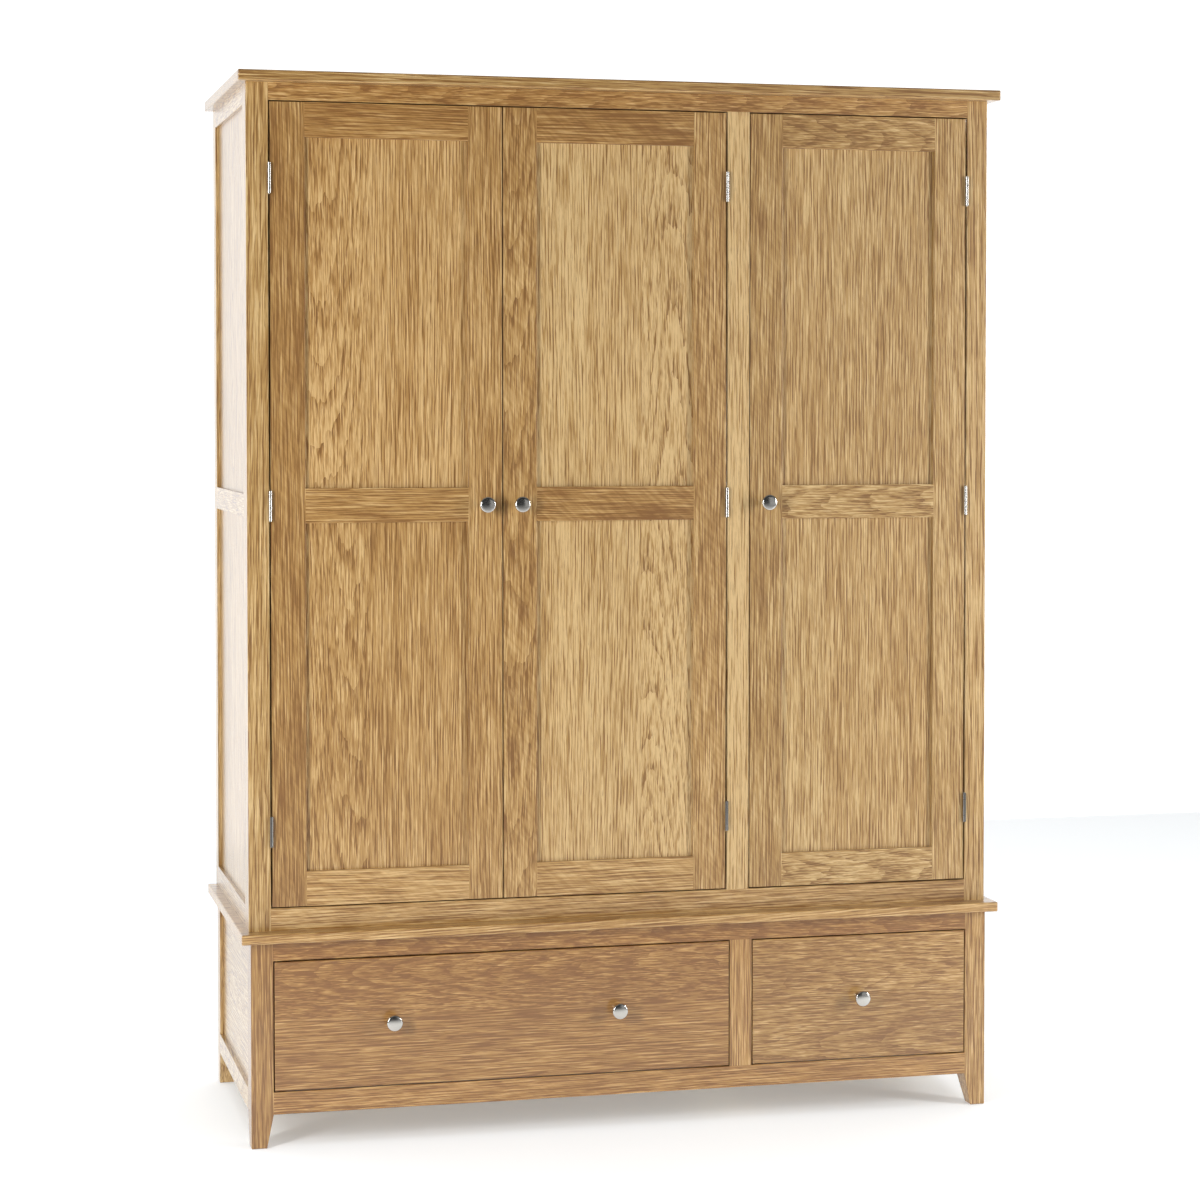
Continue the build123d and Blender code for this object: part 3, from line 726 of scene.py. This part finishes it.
def eased(shape, board, others, width, steps):
    """Ease the outer arrises, but not where another board is flush against them."""
    margin = 1.5 * MM
    for axis in range(3):
        levels = {round(level, 4) for o in others for level in (o.low[axis], o.high[axis])}
        for level in sorted(levels):
            if board.low[axis] + margin < level < board.high[axis] - margin:
                cut_across(shape, axis, level)
    reach = 0.4 * MM
    shortest = 4 * MM
    sharp = math.radians(30)
    arrises = []
    for edge in shape.edges:
        if len(edge.link_faces) != 2 or not edge.is_convex or edge.calc_length() < shortest:
            continue
        first, second = (face.normal for face in edge.link_faces)
        if first.angle(second) < sharp:
            continue
        middle = (edge.verts[0].co + edge.verts[1].co) / 2
        outward = (first - second) * reach
        if not covered(middle + outward, others) and not covered(middle - outward, others):
            arrises.append(edge)
    made = bmesh.ops.bevel(
        shape,
        geom=arrises,
        offset=width,
        segments=steps,
        profile=0.5,
        affect="EDGES",
        clamp_overlap=False,
    )
    eased_face = shape.faces.layers.int.new("eased")
    for face in made["faces"]:
        if face.is_valid:
            face[eased_face] = 1
            face.smooth = True


def cut_of(draw, width, kind):
    """Where the log's pith lies from a stave: (offset across, depth, slope, skew)."""
    slope = draw.choice((-1, 1)) * draw.uniform(0.03, 0.06)
    skew = draw.uniform(-0.012, 0.012)
    if kind == FLAT_SAWN:
        return draw.uniform(-0.35, 0.35) * width, draw.uniform(0.07, 0.16), slope, skew
    side = draw.choice((-1, 1))
    return side * (width * 0.6 + draw.uniform(0.08, 0.20)), draw.uniform(0.05, 0.12), slope / 3, skew


def staves_of(board, edges, axis):
    """Each stave's (start along the log, middle, cut, look), between the edges at its glue lines."""
    node = board.node
    draw = random.Random(zlib.crc32(f"{node} {board.index}".encode()))
    spread = 0.06  # of the tone, from board to board and stave to stave
    # Some of these tones hold painted shade and a painted sheen
    tones = TONES_AND_PAINTED_LIGHT.get(node, (draw.uniform(-spread, spread),))
    kinds = CUTS.get(node, draw.choice(("f", "r", "rf", "fr")))
    staves = []
    for start, end in zip([board.low[axis]] + edges, edges + [board.high[axis]]):
        number = len(staves) if edges else board.index
        kind = kinds[number % len(kinds)]
        tone = tones[board.index % len(tones)] + draw.uniform(-spread, spread)
        figure = FIGURED.get(node, PLAIN_FIGURE) * draw.uniform(0.5, 1.0)
        warmth = WARM.get(node, 0.0) + draw.uniform(0.0, 0.14)
        cut = cut_of(draw, end - start, kind)
        staves.append((draw.uniform(0, 20), (start + end) / 2, cut, (tone, figure, warmth)))
    return staves


def dressed(board, others, settings):
    """A board with eased arrises, its glue lines, and the grain's place and look on every face."""
    along, width_axis, depth_axis = board.axes(GRAIN.get(board.node))
    shape = solid_mesh(board.corners, board.faces)
    eased(shape, board, touching(board, others), settings.arris, settings.arris_steps)
    low = board.low[width_axis]
    edges = [low + share * board.size[width_axis] for share in GLUED.get(board.node, ())]
    for edge in edges:
        cut_across(shape, width_axis, edge)
    middle = (board.low + board.high) / 2
    staves = staves_of(board, edges, width_axis)
    eased_face = shape.faces.layers.int["eased"]
    place_layer = shape.loops.layers.float_vector.new(PLACE)
    look_layer = shape.loops.layers.float_vector.new(LOOK)
    arris_layer = shape.loops.layers.float.new(ARRIS)
    for face in shape.faces:
        at = face.calc_center_median()[width_axis]
        shift, centre, (pith, depth, slope, skew), look = staves[sum(at > edge for edge in edges)]
        for loop in face.loops:
            local = loop.vert.co - middle
            run = local[along]
            across = loop.vert.co[width_axis] - centre - pith + run * skew
            deep = local[depth_axis] + depth + run * slope
            loop[place_layer] = (run + shift, across, deep)
            loop[look_layer] = look
            loop[arris_layer] = float(face[eased_face])
    return shape


def add_timbers(slots):
    """Finished pieces of timber nodes that are made up together, each in its material slot."""
    settings = bpy.context.scene.wardrobe_joinery
    others = [board for node in slots for board in boards_of(node)]
    for node, slot in slots.items():
        name = f"{node}_finished"
        shapes = [dressed(board, others, settings) for board in boards_of(node)]
        add_piece(name, joined(shapes, name), body_of(node), slot, node)


# Metal and plastic


def add_fitting(node, slot, width):
    """A metal or plastic node with edges eased to a width, or left as they are, and smooth curves."""
    shapes = []
    sharp = math.radians(30)
    for corners, faces in separate_solids(node):
        shape = solid_mesh(corners, faces)
        if width:
            shortest = 6 * width
            edges = [
                edge
                for edge in shape.edges
                if len(edge.link_faces) == 2
                and edge.is_convex
                and edge.calc_length() > shortest
                and edge.calc_face_angle() > sharp
            ]
            bmesh.ops.bevel(
                shape,
                geom=edges,
                offset=width,
                segments=2,
                profile=0.5,
                affect="EDGES",
                clamp_overlap=True,
            )
        shapes.append(shape)
    mesh = joined(shapes, f"{node}_finished")
    mesh.shade_smooth()
    mesh.set_sharp_from_angle(angle=math.radians(40))
    return add_piece(mesh.name, mesh, body_of(node), slot, node)


def spun(outline, steps):
    """A bmesh turned from (radius, height) points in millimetres, ending on the axis, towards -Y."""
    shape = bmesh.new()
    turns = [2 * math.pi * step / steps for step in range(steps)]
    rings = []
    for radius, height in outline:
        around = turns if radius else [0.0]
        places = [Vector((radius * math.cos(turn), -height, radius * math.sin(turn))) for turn in around]
        rings.append([shape.verts.new(place * MM) for place in places])
    for lower, upper in zip(rings, rings[1:]):
        for step in range(steps):
            after = (step + 1) % steps
            near = [lower[step % len(lower)], lower[after % len(lower)]]
            far = [upper[after % len(upper)], upper[step % len(upper)]]
            shape.faces.new(list(dict.fromkeys(near + far)))
    bmesh.ops.recalc_face_normals(shape, faces=shape.faces[:])
    for face in shape.faces:
        face.smooth = True
    return shape


def arc(centre, radius, start, end, steps):
    """Points of an arc, between two angles in degrees."""
    x, y = centre
    turns = [math.radians(start + (end - start) * step / steps) for step in range(steps + 1)]
    return [(x + radius * math.cos(turn), y + radius * math.sin(turn)) for turn in turns]


def curve(start, control, end, steps):
    """Points of a curve pulled towards a control point."""
    points = []
    for step in range(steps + 1):
        share = step / steps
        weights = ((1 - share) ** 2, 2 * share * (1 - share), share**2)
        corners = (start, control, end)
        points.append(tuple(sum(w * c[i] for w, c in zip(weights, corners)) for i in range(2)))
    return points


def knob_outline():
    """Foot, waisted neck, rolled rim and shallow dome of a knob, in millimetres from the timber."""
    foot_radius = 7.0
    bead = 0.5
    foot = [(0.0, 0.0), (foot_radius, 0.0)] + arc((foot_radius, bead), bead, -60, 0, 3)
    foot += arc((foot_radius, 3 * bead), bead, 0, 90, 4)
    neck = curve((6.4, 2.0), (4.6, 3.2), (4.8, 8.5), 8)
    flare = curve((4.9, 9.5), (5.6, 16.8), (12.8, 18.9), 12)
    rim = arc((11.3, 21.8), 3.2, -62, 78, 14)
    edge_radius, edge_height = rim[-1]
    step_in = [(edge_radius - 0.6, edge_height + 0.05)]
    top = 26.2
    dome_radius = 60.0
    widest = math.degrees(math.acos((edge_radius - 1.0) / dome_radius))
    dome = arc((0.0, top - dome_radius), dome_radius, widest, 90, 14)
    dome[-1] = (0.0, top)
    return foot + neck + flare + rim + step_in + dome


def bolt_outline(grip):
    """Shank through timber as thick as the grip, with a domed head behind, in millimetres."""
    shank_radius = 2.0
    shank_end = 8.5
    head_radius = 4.2
    head_edge = 0.4
    head_height = 2.6
    dome_radius = 5.2
    crown = -grip - head_height
    head = [(0.0, crown)] + arc((0.0, crown + dome_radius), dome_radius, -78, -36, 6)
    rim = [(head_radius, -grip - head_edge), (head_radius, -grip), (shank_radius, -grip)]
    return head + rim + [(shank_radius, shank_end), (0.0, shank_end)]


def add_knobs(node):
    """The knobs of one door or drawer with their bolts."""
    settings = bpy.context.scene.wardrobe_hardware
    bolt_most = 20 * MM  # a wider solid of the node is a knob
    grip = 20.0
    solids = [box_of(corners) for corners, _ in separate_solids(node)]
    knobs = [(low, high) for low, high in solids if high.x - low.x > bolt_most]
    shapes = []
    for low, high in knobs:
        place = Vector(((low.x + high.x) / 2, high.y, (low.z + high.z) / 2))
        for outline in (knob_outline(), bolt_outline(grip)):
            shape = spun(outline, settings.knob_steps)
            bmesh.ops.translate(shape, verts=shape.verts[:], vec=place)
            shapes.append(shape)
    mesh = joined(shapes, f"{node}_finished")
    mesh.set_sharp_from_angle(angle=math.radians(50))
    return add_piece(mesh.name, mesh, body_of(node), "polished_nickel", node)


# Screws, made by one node tree


def link(tree, source, target):
    """Join one node's output to another's input."""
    tree.links.new(source, target)


def tree_node(tree, kind, settings=None, inputs=None):
    """A node of a geometry tree: its settings first, then the values or links of its sockets."""
    made = tree.nodes.new(kind)
    for name, value in (settings or {}).items():
        setattr(made, name, value)
    for name, value in (inputs or {}).items():
        if isinstance(value, bpy.types.NodeSocket):
            link(tree, value, made.inputs[name])
        else:
            made.inputs[name].default_value = value
    return made


SCREW_SIZES = {
    "Head Radius": "head_radius",
    "Head Height": "head_height",
    "Shank Radius": "shank_radius",
    "Length": "length",
    "Recess Width": "recess_width",
    "Recess Reach": "recess_reach",
    "Recess Depth": "recess_depth",
}  # the tree's inputs, in millimetres, and the settings that they take


def screw_shape(tree, given):
    """One screw in millimetres: a countersunk head with a cross recess at the origin, and its shank."""

    def maths(operation, first, second):
        settings = {"operation": operation}
        return tree_node(tree, "ShaderNodeMath", settings, {0: first, 1: second}).outputs[0]

    def moved(mesh, height):
        place = tree_node(tree, "ShaderNodeCombineXYZ", None, {2: height}).outputs[0]
        inputs = {"Geometry": mesh, "Translation": place}
        return tree_node(tree, "GeometryNodeTransform", None, inputs).outputs[0]

    cone_sizes = {
        "Vertices": 40,
        "Radius Top": given["Head Radius"],
        "Radius Bottom": given["Shank Radius"],
        "Depth": given["Head Height"],
    }
    cone = tree_node(tree, "GeometryNodeMeshCone", None, cone_sizes).outputs["Mesh"]
    head = moved(cone, maths("MULTIPLY", given["Head Height"], -1.0))
    rod_sizes = {
        "Vertices": 24,
        "Radius": given["Shank Radius"],
        "Depth": maths("SUBTRACT", given["Length"], given["Head Height"]),
    }
    rod = tree_node(tree, "GeometryNodeMeshCylinder", None, rod_sizes).outputs["Mesh"]
    shank = moved(rod, maths("MULTIPLY", maths("ADD", given["Length"], given["Head Height"]), -0.5))
    deep = maths("MULTIPLY", given["Recess Depth"], 2.0)
    cut = tree_node(tree, "GeometryNodeMeshBoolean", {"operation": "DIFFERENCE"}, {"Mesh 1": head})
    for width, reach in (("Recess Width", "Recess Reach"), ("Recess Reach", "Recess Width")):
        sides = {0: given[width], 1: given[reach], 2: deep}
        size = tree_node(tree, "ShaderNodeCombineXYZ", None, sides).outputs[0]
        slot = tree_node(tree, "GeometryNodeMeshCube", None, {"Size": size})
        link(tree, slot.outputs["Mesh"], cut.inputs["Mesh 2"])
    screw = tree_node(tree, "GeometryNodeJoinGeometry")
    for part in (cut.outputs["Mesh"], shank):
        link(tree, part, screw.inputs[0])
    return screw.outputs[0]


def screw_turn(tree, given):
    """The turn of each screw: its head faces as its point says, and its recess lies at random."""
    named = {"data_type": "FLOAT_VECTOR"}
    facing = tree_node(tree, "GeometryNodeInputNamedAttribute", named, {"Name": FACING})
    headed = tree_node(
        tree,
        "FunctionNodeAlignRotationToVector",
        {"axis": "Z"},
        {"Vector": facing.outputs["Attribute"]},
    )
    span = {"Max": 2 * math.pi, "Seed": given["Seed"]}
    spin = tree_node(tree, "FunctionNodeRandomValue", {"data_type": "FLOAT"}, span)
    angle = next(output for output in spin.outputs if output.enabled)
    about = tree_node(tree, "ShaderNodeCombineXYZ", None, {2: angle}).outputs[0]
    spun_round = tree_node(tree, "FunctionNodeEulerToRotation", None, {0: about})
    both = {0: headed.outputs[0], 1: spun_round.outputs[0]}
    return tree_node(tree, "FunctionNodeRotateRotation", {"rotation_space": "LOCAL"}, both).outputs[0]


def screw_tree():
    """The node tree that sets a screw on every point of a mesh."""
    tree = bpy.data.node_groups.new("countersunk_screws", "GeometryNodeTree")
    inputs = {"Geometry": "Geometry", **dict.fromkeys(SCREW_SIZES, "Float")}
    inputs |= {"Seed": "Int", "Finish": "Material"}
    for name, kind in inputs.items():
        tree.interface.new_socket(name, in_out="INPUT", socket_type=f"NodeSocket{kind}")
    tree.interface.new_socket("Geometry", in_out="OUTPUT", socket_type="NodeSocketGeometry")
    given = tree.nodes.new("NodeGroupInput").outputs
    on_points = {
        "Points": given["Geometry"],
        "Instance": screw_shape(tree, given),
        "Rotation": screw_turn(tree, given),
        "Scale": (MM, MM, MM),
    }
    placed = tree_node(tree, "GeometryNodeInstanceOnPoints", None, on_points)
    real = tree_node(tree, "GeometryNodeRealizeInstances", None, {"Geometry": placed.outputs[0]})
    finish = {"Geometry": real.outputs[0], "Material": given["Finish"]}
    finished = tree_node(tree, "GeometryNodeSetMaterial", None, finish)
    link(tree, finished.outputs[0], tree.nodes.new("NodeGroupOutput").inputs[0])
    return tree


def node_inputs(modifier):
    """Socket identifiers of a node modifier's inputs by name."""
    items = modifier.node_group.interface.items_tree
    return {item.name: item.identifier for item in items if item.in_out == "INPUT"}


def screw_points(node):
    """Where each of a node's screws has the middle of its head, and the way that it faces."""
    points = []
    for corners, _ in separate_solids(node):
        low, high = box_of(corners)
        middle = (low + high) / 2
        radius = max(abs(corner.z - middle.z) for corner in corners)
        head = [corner.x for corner in corners if abs(abs(corner.z - middle.z) - radius) < 0.1 * MM]
        way = 1 if sum(head) / len(head) > middle.x else -1
        face = high.x if way > 0 else low.x
        points.append(((face, middle.y, middle.z), (way, 0, 0)))
    return points


def add_screws(node, slot):
    """The screws of a node, as a plain mesh."""
    settings = bpy.context.scene.wardrobe_hardware
    name = f"{node}_finished"
    points = screw_points(node)
    mesh = bpy.data.meshes.new("screw_points")
    mesh.from_pydata([place for place, _ in points], [], [])
    facing = mesh.attributes.new(FACING, "FLOAT_VECTOR", "POINT")
    facing.data.foreach_set("vector", [value for _, way in points for value in way])
    carrier = bpy.data.objects.new("screw_points", mesh)
    bpy.context.scene.collection.objects.link(carrier)
    modifier = carrier.modifiers.new("screws", "NODES")
    modifier.node_group = bpy.data.node_groups.get("countersunk_screws") or screw_tree()
    sockets = node_inputs(modifier)
    places = 4  # a setting holds about seven figures, so what comes after is chance
    for label, setting in SCREW_SIZES.items():
        modifier[sockets[label]] = round(getattr(settings, setting) / MM, places)
    modifier[sockets["Seed"]] = zlib.crc32(name.encode()) % 1000
    modifier[sockets["Finish"]] = finish_for(slot)
    ready = carrier.evaluated_get(bpy.context.evaluated_depsgraph_get())
    made = bpy.data.meshes.new_from_object(ready)
    bpy.data.objects.remove(carrier)
    made.name = name
    return add_piece(name, made, body_of(node), slot, node)


# Operators


class WARDROBE_OT_upper_carcass(Operator):
    """Finish the posts, framed sides, back, cornice, floor, partition and shelves"""

    bl_idname = "wardrobe.upper_carcass"
    bl_label = "Upper carcass"
    bl_options = {"REGISTER", "UNDO"}

    def execute(self, context):
        add_timbers(
            {
                "front_posts": "oak",
                "rear_posts": "oak",
                "side_rails": "oak",
                "side_panels": "oak",
                "front_rails": "oak",
                "front_muntin": "oak",
                "rear_frame": "oak",
                "back_panels": "oak_panel",
                "cornice": "oak",
                "wardrobe_floor": "oak",
                "floor_bearers": "inner_timber",
                "partition": "oak",
                "hat_shelves": "oak",
                "shelf_cleats": "inner_timber",
                "base_board": "oak",
            }
        )
        return {"FINISHED"}


class WARDROBE_OT_base_unit(Operator):
    """Finish the legs, rails, panels, divider and runners of the base unit"""

    bl_idname = "wardrobe.base_unit"
    bl_label = "Base unit"
    bl_options = {"REGISTER", "UNDO"}

    def execute(self, context):
        add_timbers(
            {
                "base_front_legs": "oak",
                "base_rear_legs": "oak",
                "base_front_rails": "oak",
                "base_muntin": "oak",
                "base_side_rails": "oak",
                "base_side_panels": "oak",
                "base_rear_rails": "oak",
                "base_back_panel": "oak_panel",
                "base_divider": "inner_timber",
                "drawer_runners": "inner_timber",
            }
        )
        return {"FINISHED"}


class WARDROBE_OT_doors(Operator):
    """Finish the stiles, rails and panels of the three doors"""

    bl_idname = "wardrobe.doors"
    bl_label = "Doors"
    bl_options = {"REGISTER", "UNDO"}

    def execute(self, context):
        for door in DOORS:
            add_timbers({f"door_{door}_{part}": "oak" for part in ("stiles", "rails", "panels")})
        return {"FINISHED"}


class WARDROBE_OT_drawers(Operator):
    """Finish the fronts, boxes and bottoms of the two drawers"""

    bl_idname = "wardrobe.drawers"
    bl_label = "Drawers"
    bl_options = {"REGISTER", "UNDO"}

    def execute(self, context):
        for drawer in DRAWERS:
            add_timbers(
                {
                    f"drawer_{drawer}_front": "oak",
                    f"drawer_{drawer}_sides_and_back": "inner_timber",
                    f"drawer_{drawer}_bottom": "oak_panel",
                }
            )
        return {"FINISHED"}


class WARDROBE_OT_hinges(Operator):
    """Finish the hinge leaves and pins"""

    bl_idname = "wardrobe.hinges"
    bl_label = "Hinges"
    bl_options = {"REGISTER", "UNDO"}

    def execute(self, context):
        width = context.scene.wardrobe_joinery.metal_arris
        add_fitting("hinge_frame_leaves", "nickel", width)
        add_fitting("hinge_pins", "nickel", 0.0)
        for door in DOORS:
            add_fitting(f"door_{door}_hinge_leaves", "nickel", width)
        return {"FINISHED"}


class WARDROBE_OT_screws(Operator):
    """Make the hinge screws with their cross recesses"""

    bl_idname = "wardrobe.screws"
    bl_label = "Hinge screws"
    bl_options = {"REGISTER", "UNDO"}

    def execute(self, context):
        add_screws("hinge_frame_screws", "nickel")
        for door in DOORS:
            add_screws(f"door_{door}_hinge_screws", "nickel")
        return {"FINISHED"}


class WARDROBE_OT_knobs(Operator):
    """Turn the knobs of the doors and drawers, with their bolts"""

    bl_idname = "wardrobe.knobs"
    bl_label = "Knobs"
    bl_options = {"REGISTER", "UNDO"}

    def execute(self, context):
        for door in DOORS:
            add_knobs(f"door_{door}_knob")
        for drawer in DRAWERS:
            add_knobs(f"drawer_{drawer}_knobs")
        return {"FINISHED"}


class WARDROBE_OT_fittings(Operator):
    """Finish the hanging rails, their sockets, the catches and the strike plates"""

    bl_idname = "wardrobe.fittings"
    bl_label = "Inner fittings"
    bl_options = {"REGISTER", "UNDO"}

    def execute(self, context):
        width = context.scene.wardrobe_joinery.metal_arris
        add_fitting("hanging_rails", "chrome", 0.0)
        add_fitting("rail_sockets", "chrome", 0.0)
        add_fitting("magnetic_catches", "catch_plastic", 2 * width)
        for door in DOORS:
            add_fitting(f"door_{door}_strike_plate", "steel_plate", width)
        return {"FINISHED"}


# Stage

FOOT = (0.0, 0.0, 0.0)
MIDDLE = (0.0, 0.0, 0.9)
# Each light's place, the point that it looks at, its size, and the setting with its power
LIGHTS = {
    "overhead_softbox": ((0.0, -0.3, 4.8), FOOT, (7.0, 6.0), "overhead"),
    "floor_light": ((0.0, -0.3, 5.0), FOOT, (7.0, 6.0), "floor_light"),
    "left_softbox": ((-2.7, -2.2, 1.4), MIDDLE, (0.5, 1.8), "key"),
    "right_softbox": ((3.3, -2.2, 1.4), MIDDLE, (0.5, 1.8), "side"),
    "front_sheet": ((2.6, -5.4, 1.5), MIDDLE, (2.2, 2.6), "fill"),
}


def add_light(name, place, aim, size, power):
    """A softbox that looks at a point."""
    lamp = bpy.data.lights.new(name, "AREA")
    lamp.shape = "RECTANGLE"
    lamp.size, lamp.size_y = size
    lamp.energy = power
    light = bpy.data.objects.new(name, lamp)
    light.location = place
    light.rotation_mode = "QUATERNION"
    light.rotation_quaternion = (Vector(aim) - Vector(place)).to_track_quat("-Z", "Y")
    bpy.context.scene.collection.objects.link(light)
    return light


def add_lights(settings, floor):
    """The studio's lights, of which the floor light reaches the floor alone."""
    lights = {}
    for name, (place, aim, size, power) in LIGHTS.items():
        lights[name] = add_light(name, place, aim, size, getattr(settings, power))
    lit = bpy.data.collections.new("lit_floor")
    lit.objects.link(floor)
    lights["floor_light"].light_linking.receiver_collection = lit


def add_sheet(name, corners, material):
    """A flat four-cornered piece of the stage."""
    mesh = bpy.data.meshes.new(name)
    mesh.from_pydata(corners, [], [(0, 1, 2, 3)])
    sheet = bpy.data.objects.new(name, mesh)
    sheet.data.materials.append(material)
    bpy.context.scene.collection.objects.link(sheet)
    return sheet


def add_surroundings(settings):
    """The floor, the wall behind it and the light of the room. The floor is given back."""
    reach, edge = settings.floor_reach, settings.floor_edge
    floor = add_sheet(
        "floor",
        [(-reach, -reach, 0.0), (reach, -reach, 0.0), (reach, edge, 0.0), (-reach, edge, 0.0)],
        floor_finish("pale_floor", settings.floor, settings.glow),
    )
    side, back = settings.backdrop_reach, settings.backdrop_place
    foot, top = settings.backdrop_foot, settings.backdrop_top
    add_sheet(
        "backdrop",
        [(-side, back, foot), (side, back, foot), (side, back, top), (-side, back, top)],
        backdrop_finish("lit_backdrop", settings.backdrop),
    )
    world = bpy.data.worlds.new("studio")
    bpy.context.scene.world = world
    world.use_nodes = True
    background = world.node_tree.nodes["Background"]
    background.inputs["Color"].default_value = opaque((1.0, 1.0, 1.0))
    background.inputs["Strength"].default_value = settings.room
    return floor


def add_camera(settings):
    """The camera, in front and to the left, at the height of a person's chest."""
    lens = bpy.data.cameras.new("camera")
    lens.lens = settings.lens
    lens.sensor_width = 36.0
    lens.shift_y = settings.shift
    lens.clip_end = 100.0
    camera = bpy.data.objects.new("camera", lens)
    camera.location = settings.camera_place
    camera.rotation_euler = (math.pi / 2 - settings.camera_tilt, 0.0, -settings.camera_turn)
    bpy.context.scene.collection.objects.link(camera)
    bpy.context.scene.camera = camera


class WARDROBE_OT_stage(Operator):
    """Set out the floor, the lights and the camera"""

    bl_idname = "wardrobe.stage"
    bl_label = "Stage"
    bl_options = {"REGISTER", "UNDO"}

    def execute(self, context):
        settings = context.scene.wardrobe_stage
        floor = add_surroundings(settings)
        add_lights(settings, floor)
        add_camera(settings)
        context.scene.view_settings.view_transform = "Standard"
        return {"FINISHED"}


# Panel, and the making of everything in order


class WARDROBE_PT_sidebar(Panel):
    """Buttons for every group of pieces"""

    bl_idname = "WARDROBE_PT_sidebar"
    bl_label = "Wardrobe"
    bl_space_type = "VIEW_3D"
    bl_region_type = "UI"
    bl_category = "Wardrobe"

    def draw(self, context):
        for operator in operators:
            self.layout.operator(operator.bl_idname, text=operator.bl_label)


operators = (
    WARDROBE_OT_stage,
    WARDROBE_OT_upper_carcass,
    WARDROBE_OT_base_unit,
    WARDROBE_OT_doors,
    WARDROBE_OT_drawers,
    WARDROBE_OT_hinges,
    WARDROBE_OT_screws,
    WARDROBE_OT_knobs,
    WARDROBE_OT_fittings,
)
settings_groups = {
    "wardrobe_oak": OakSettings,
    "wardrobe_inner_timber": InnerTimberSettings,
    "wardrobe_joinery": JoinerySettings,
    "wardrobe_hardware": HardwareSettings,
    "wardrobe_stage": StageSettings,
}


def register():
    for group in settings_groups.values():
        bpy.utils.register_class(group)
    for name, group in settings_groups.items():
        setattr(bpy.types.Scene, name, PointerProperty(type=group))
    for operator in operators:
        bpy.utils.register_class(operator)
    bpy.utils.register_class(WARDROBE_PT_sidebar)


def unregister():
    bpy.utils.unregister_class(WARDROBE_PT_sidebar)
    for operator in reversed(operators):
        bpy.utils.unregister_class(operator)
    for name, group in settings_groups.items():
        delattr(bpy.types.Scene, name)
        bpy.utils.unregister_class(group)


def main():
    register()
    for operator in operators:
        group, name = operator.bl_idname.split(".")
        getattr(getattr(bpy.ops, group), name)()


if __name__ == "__main__":
    main()
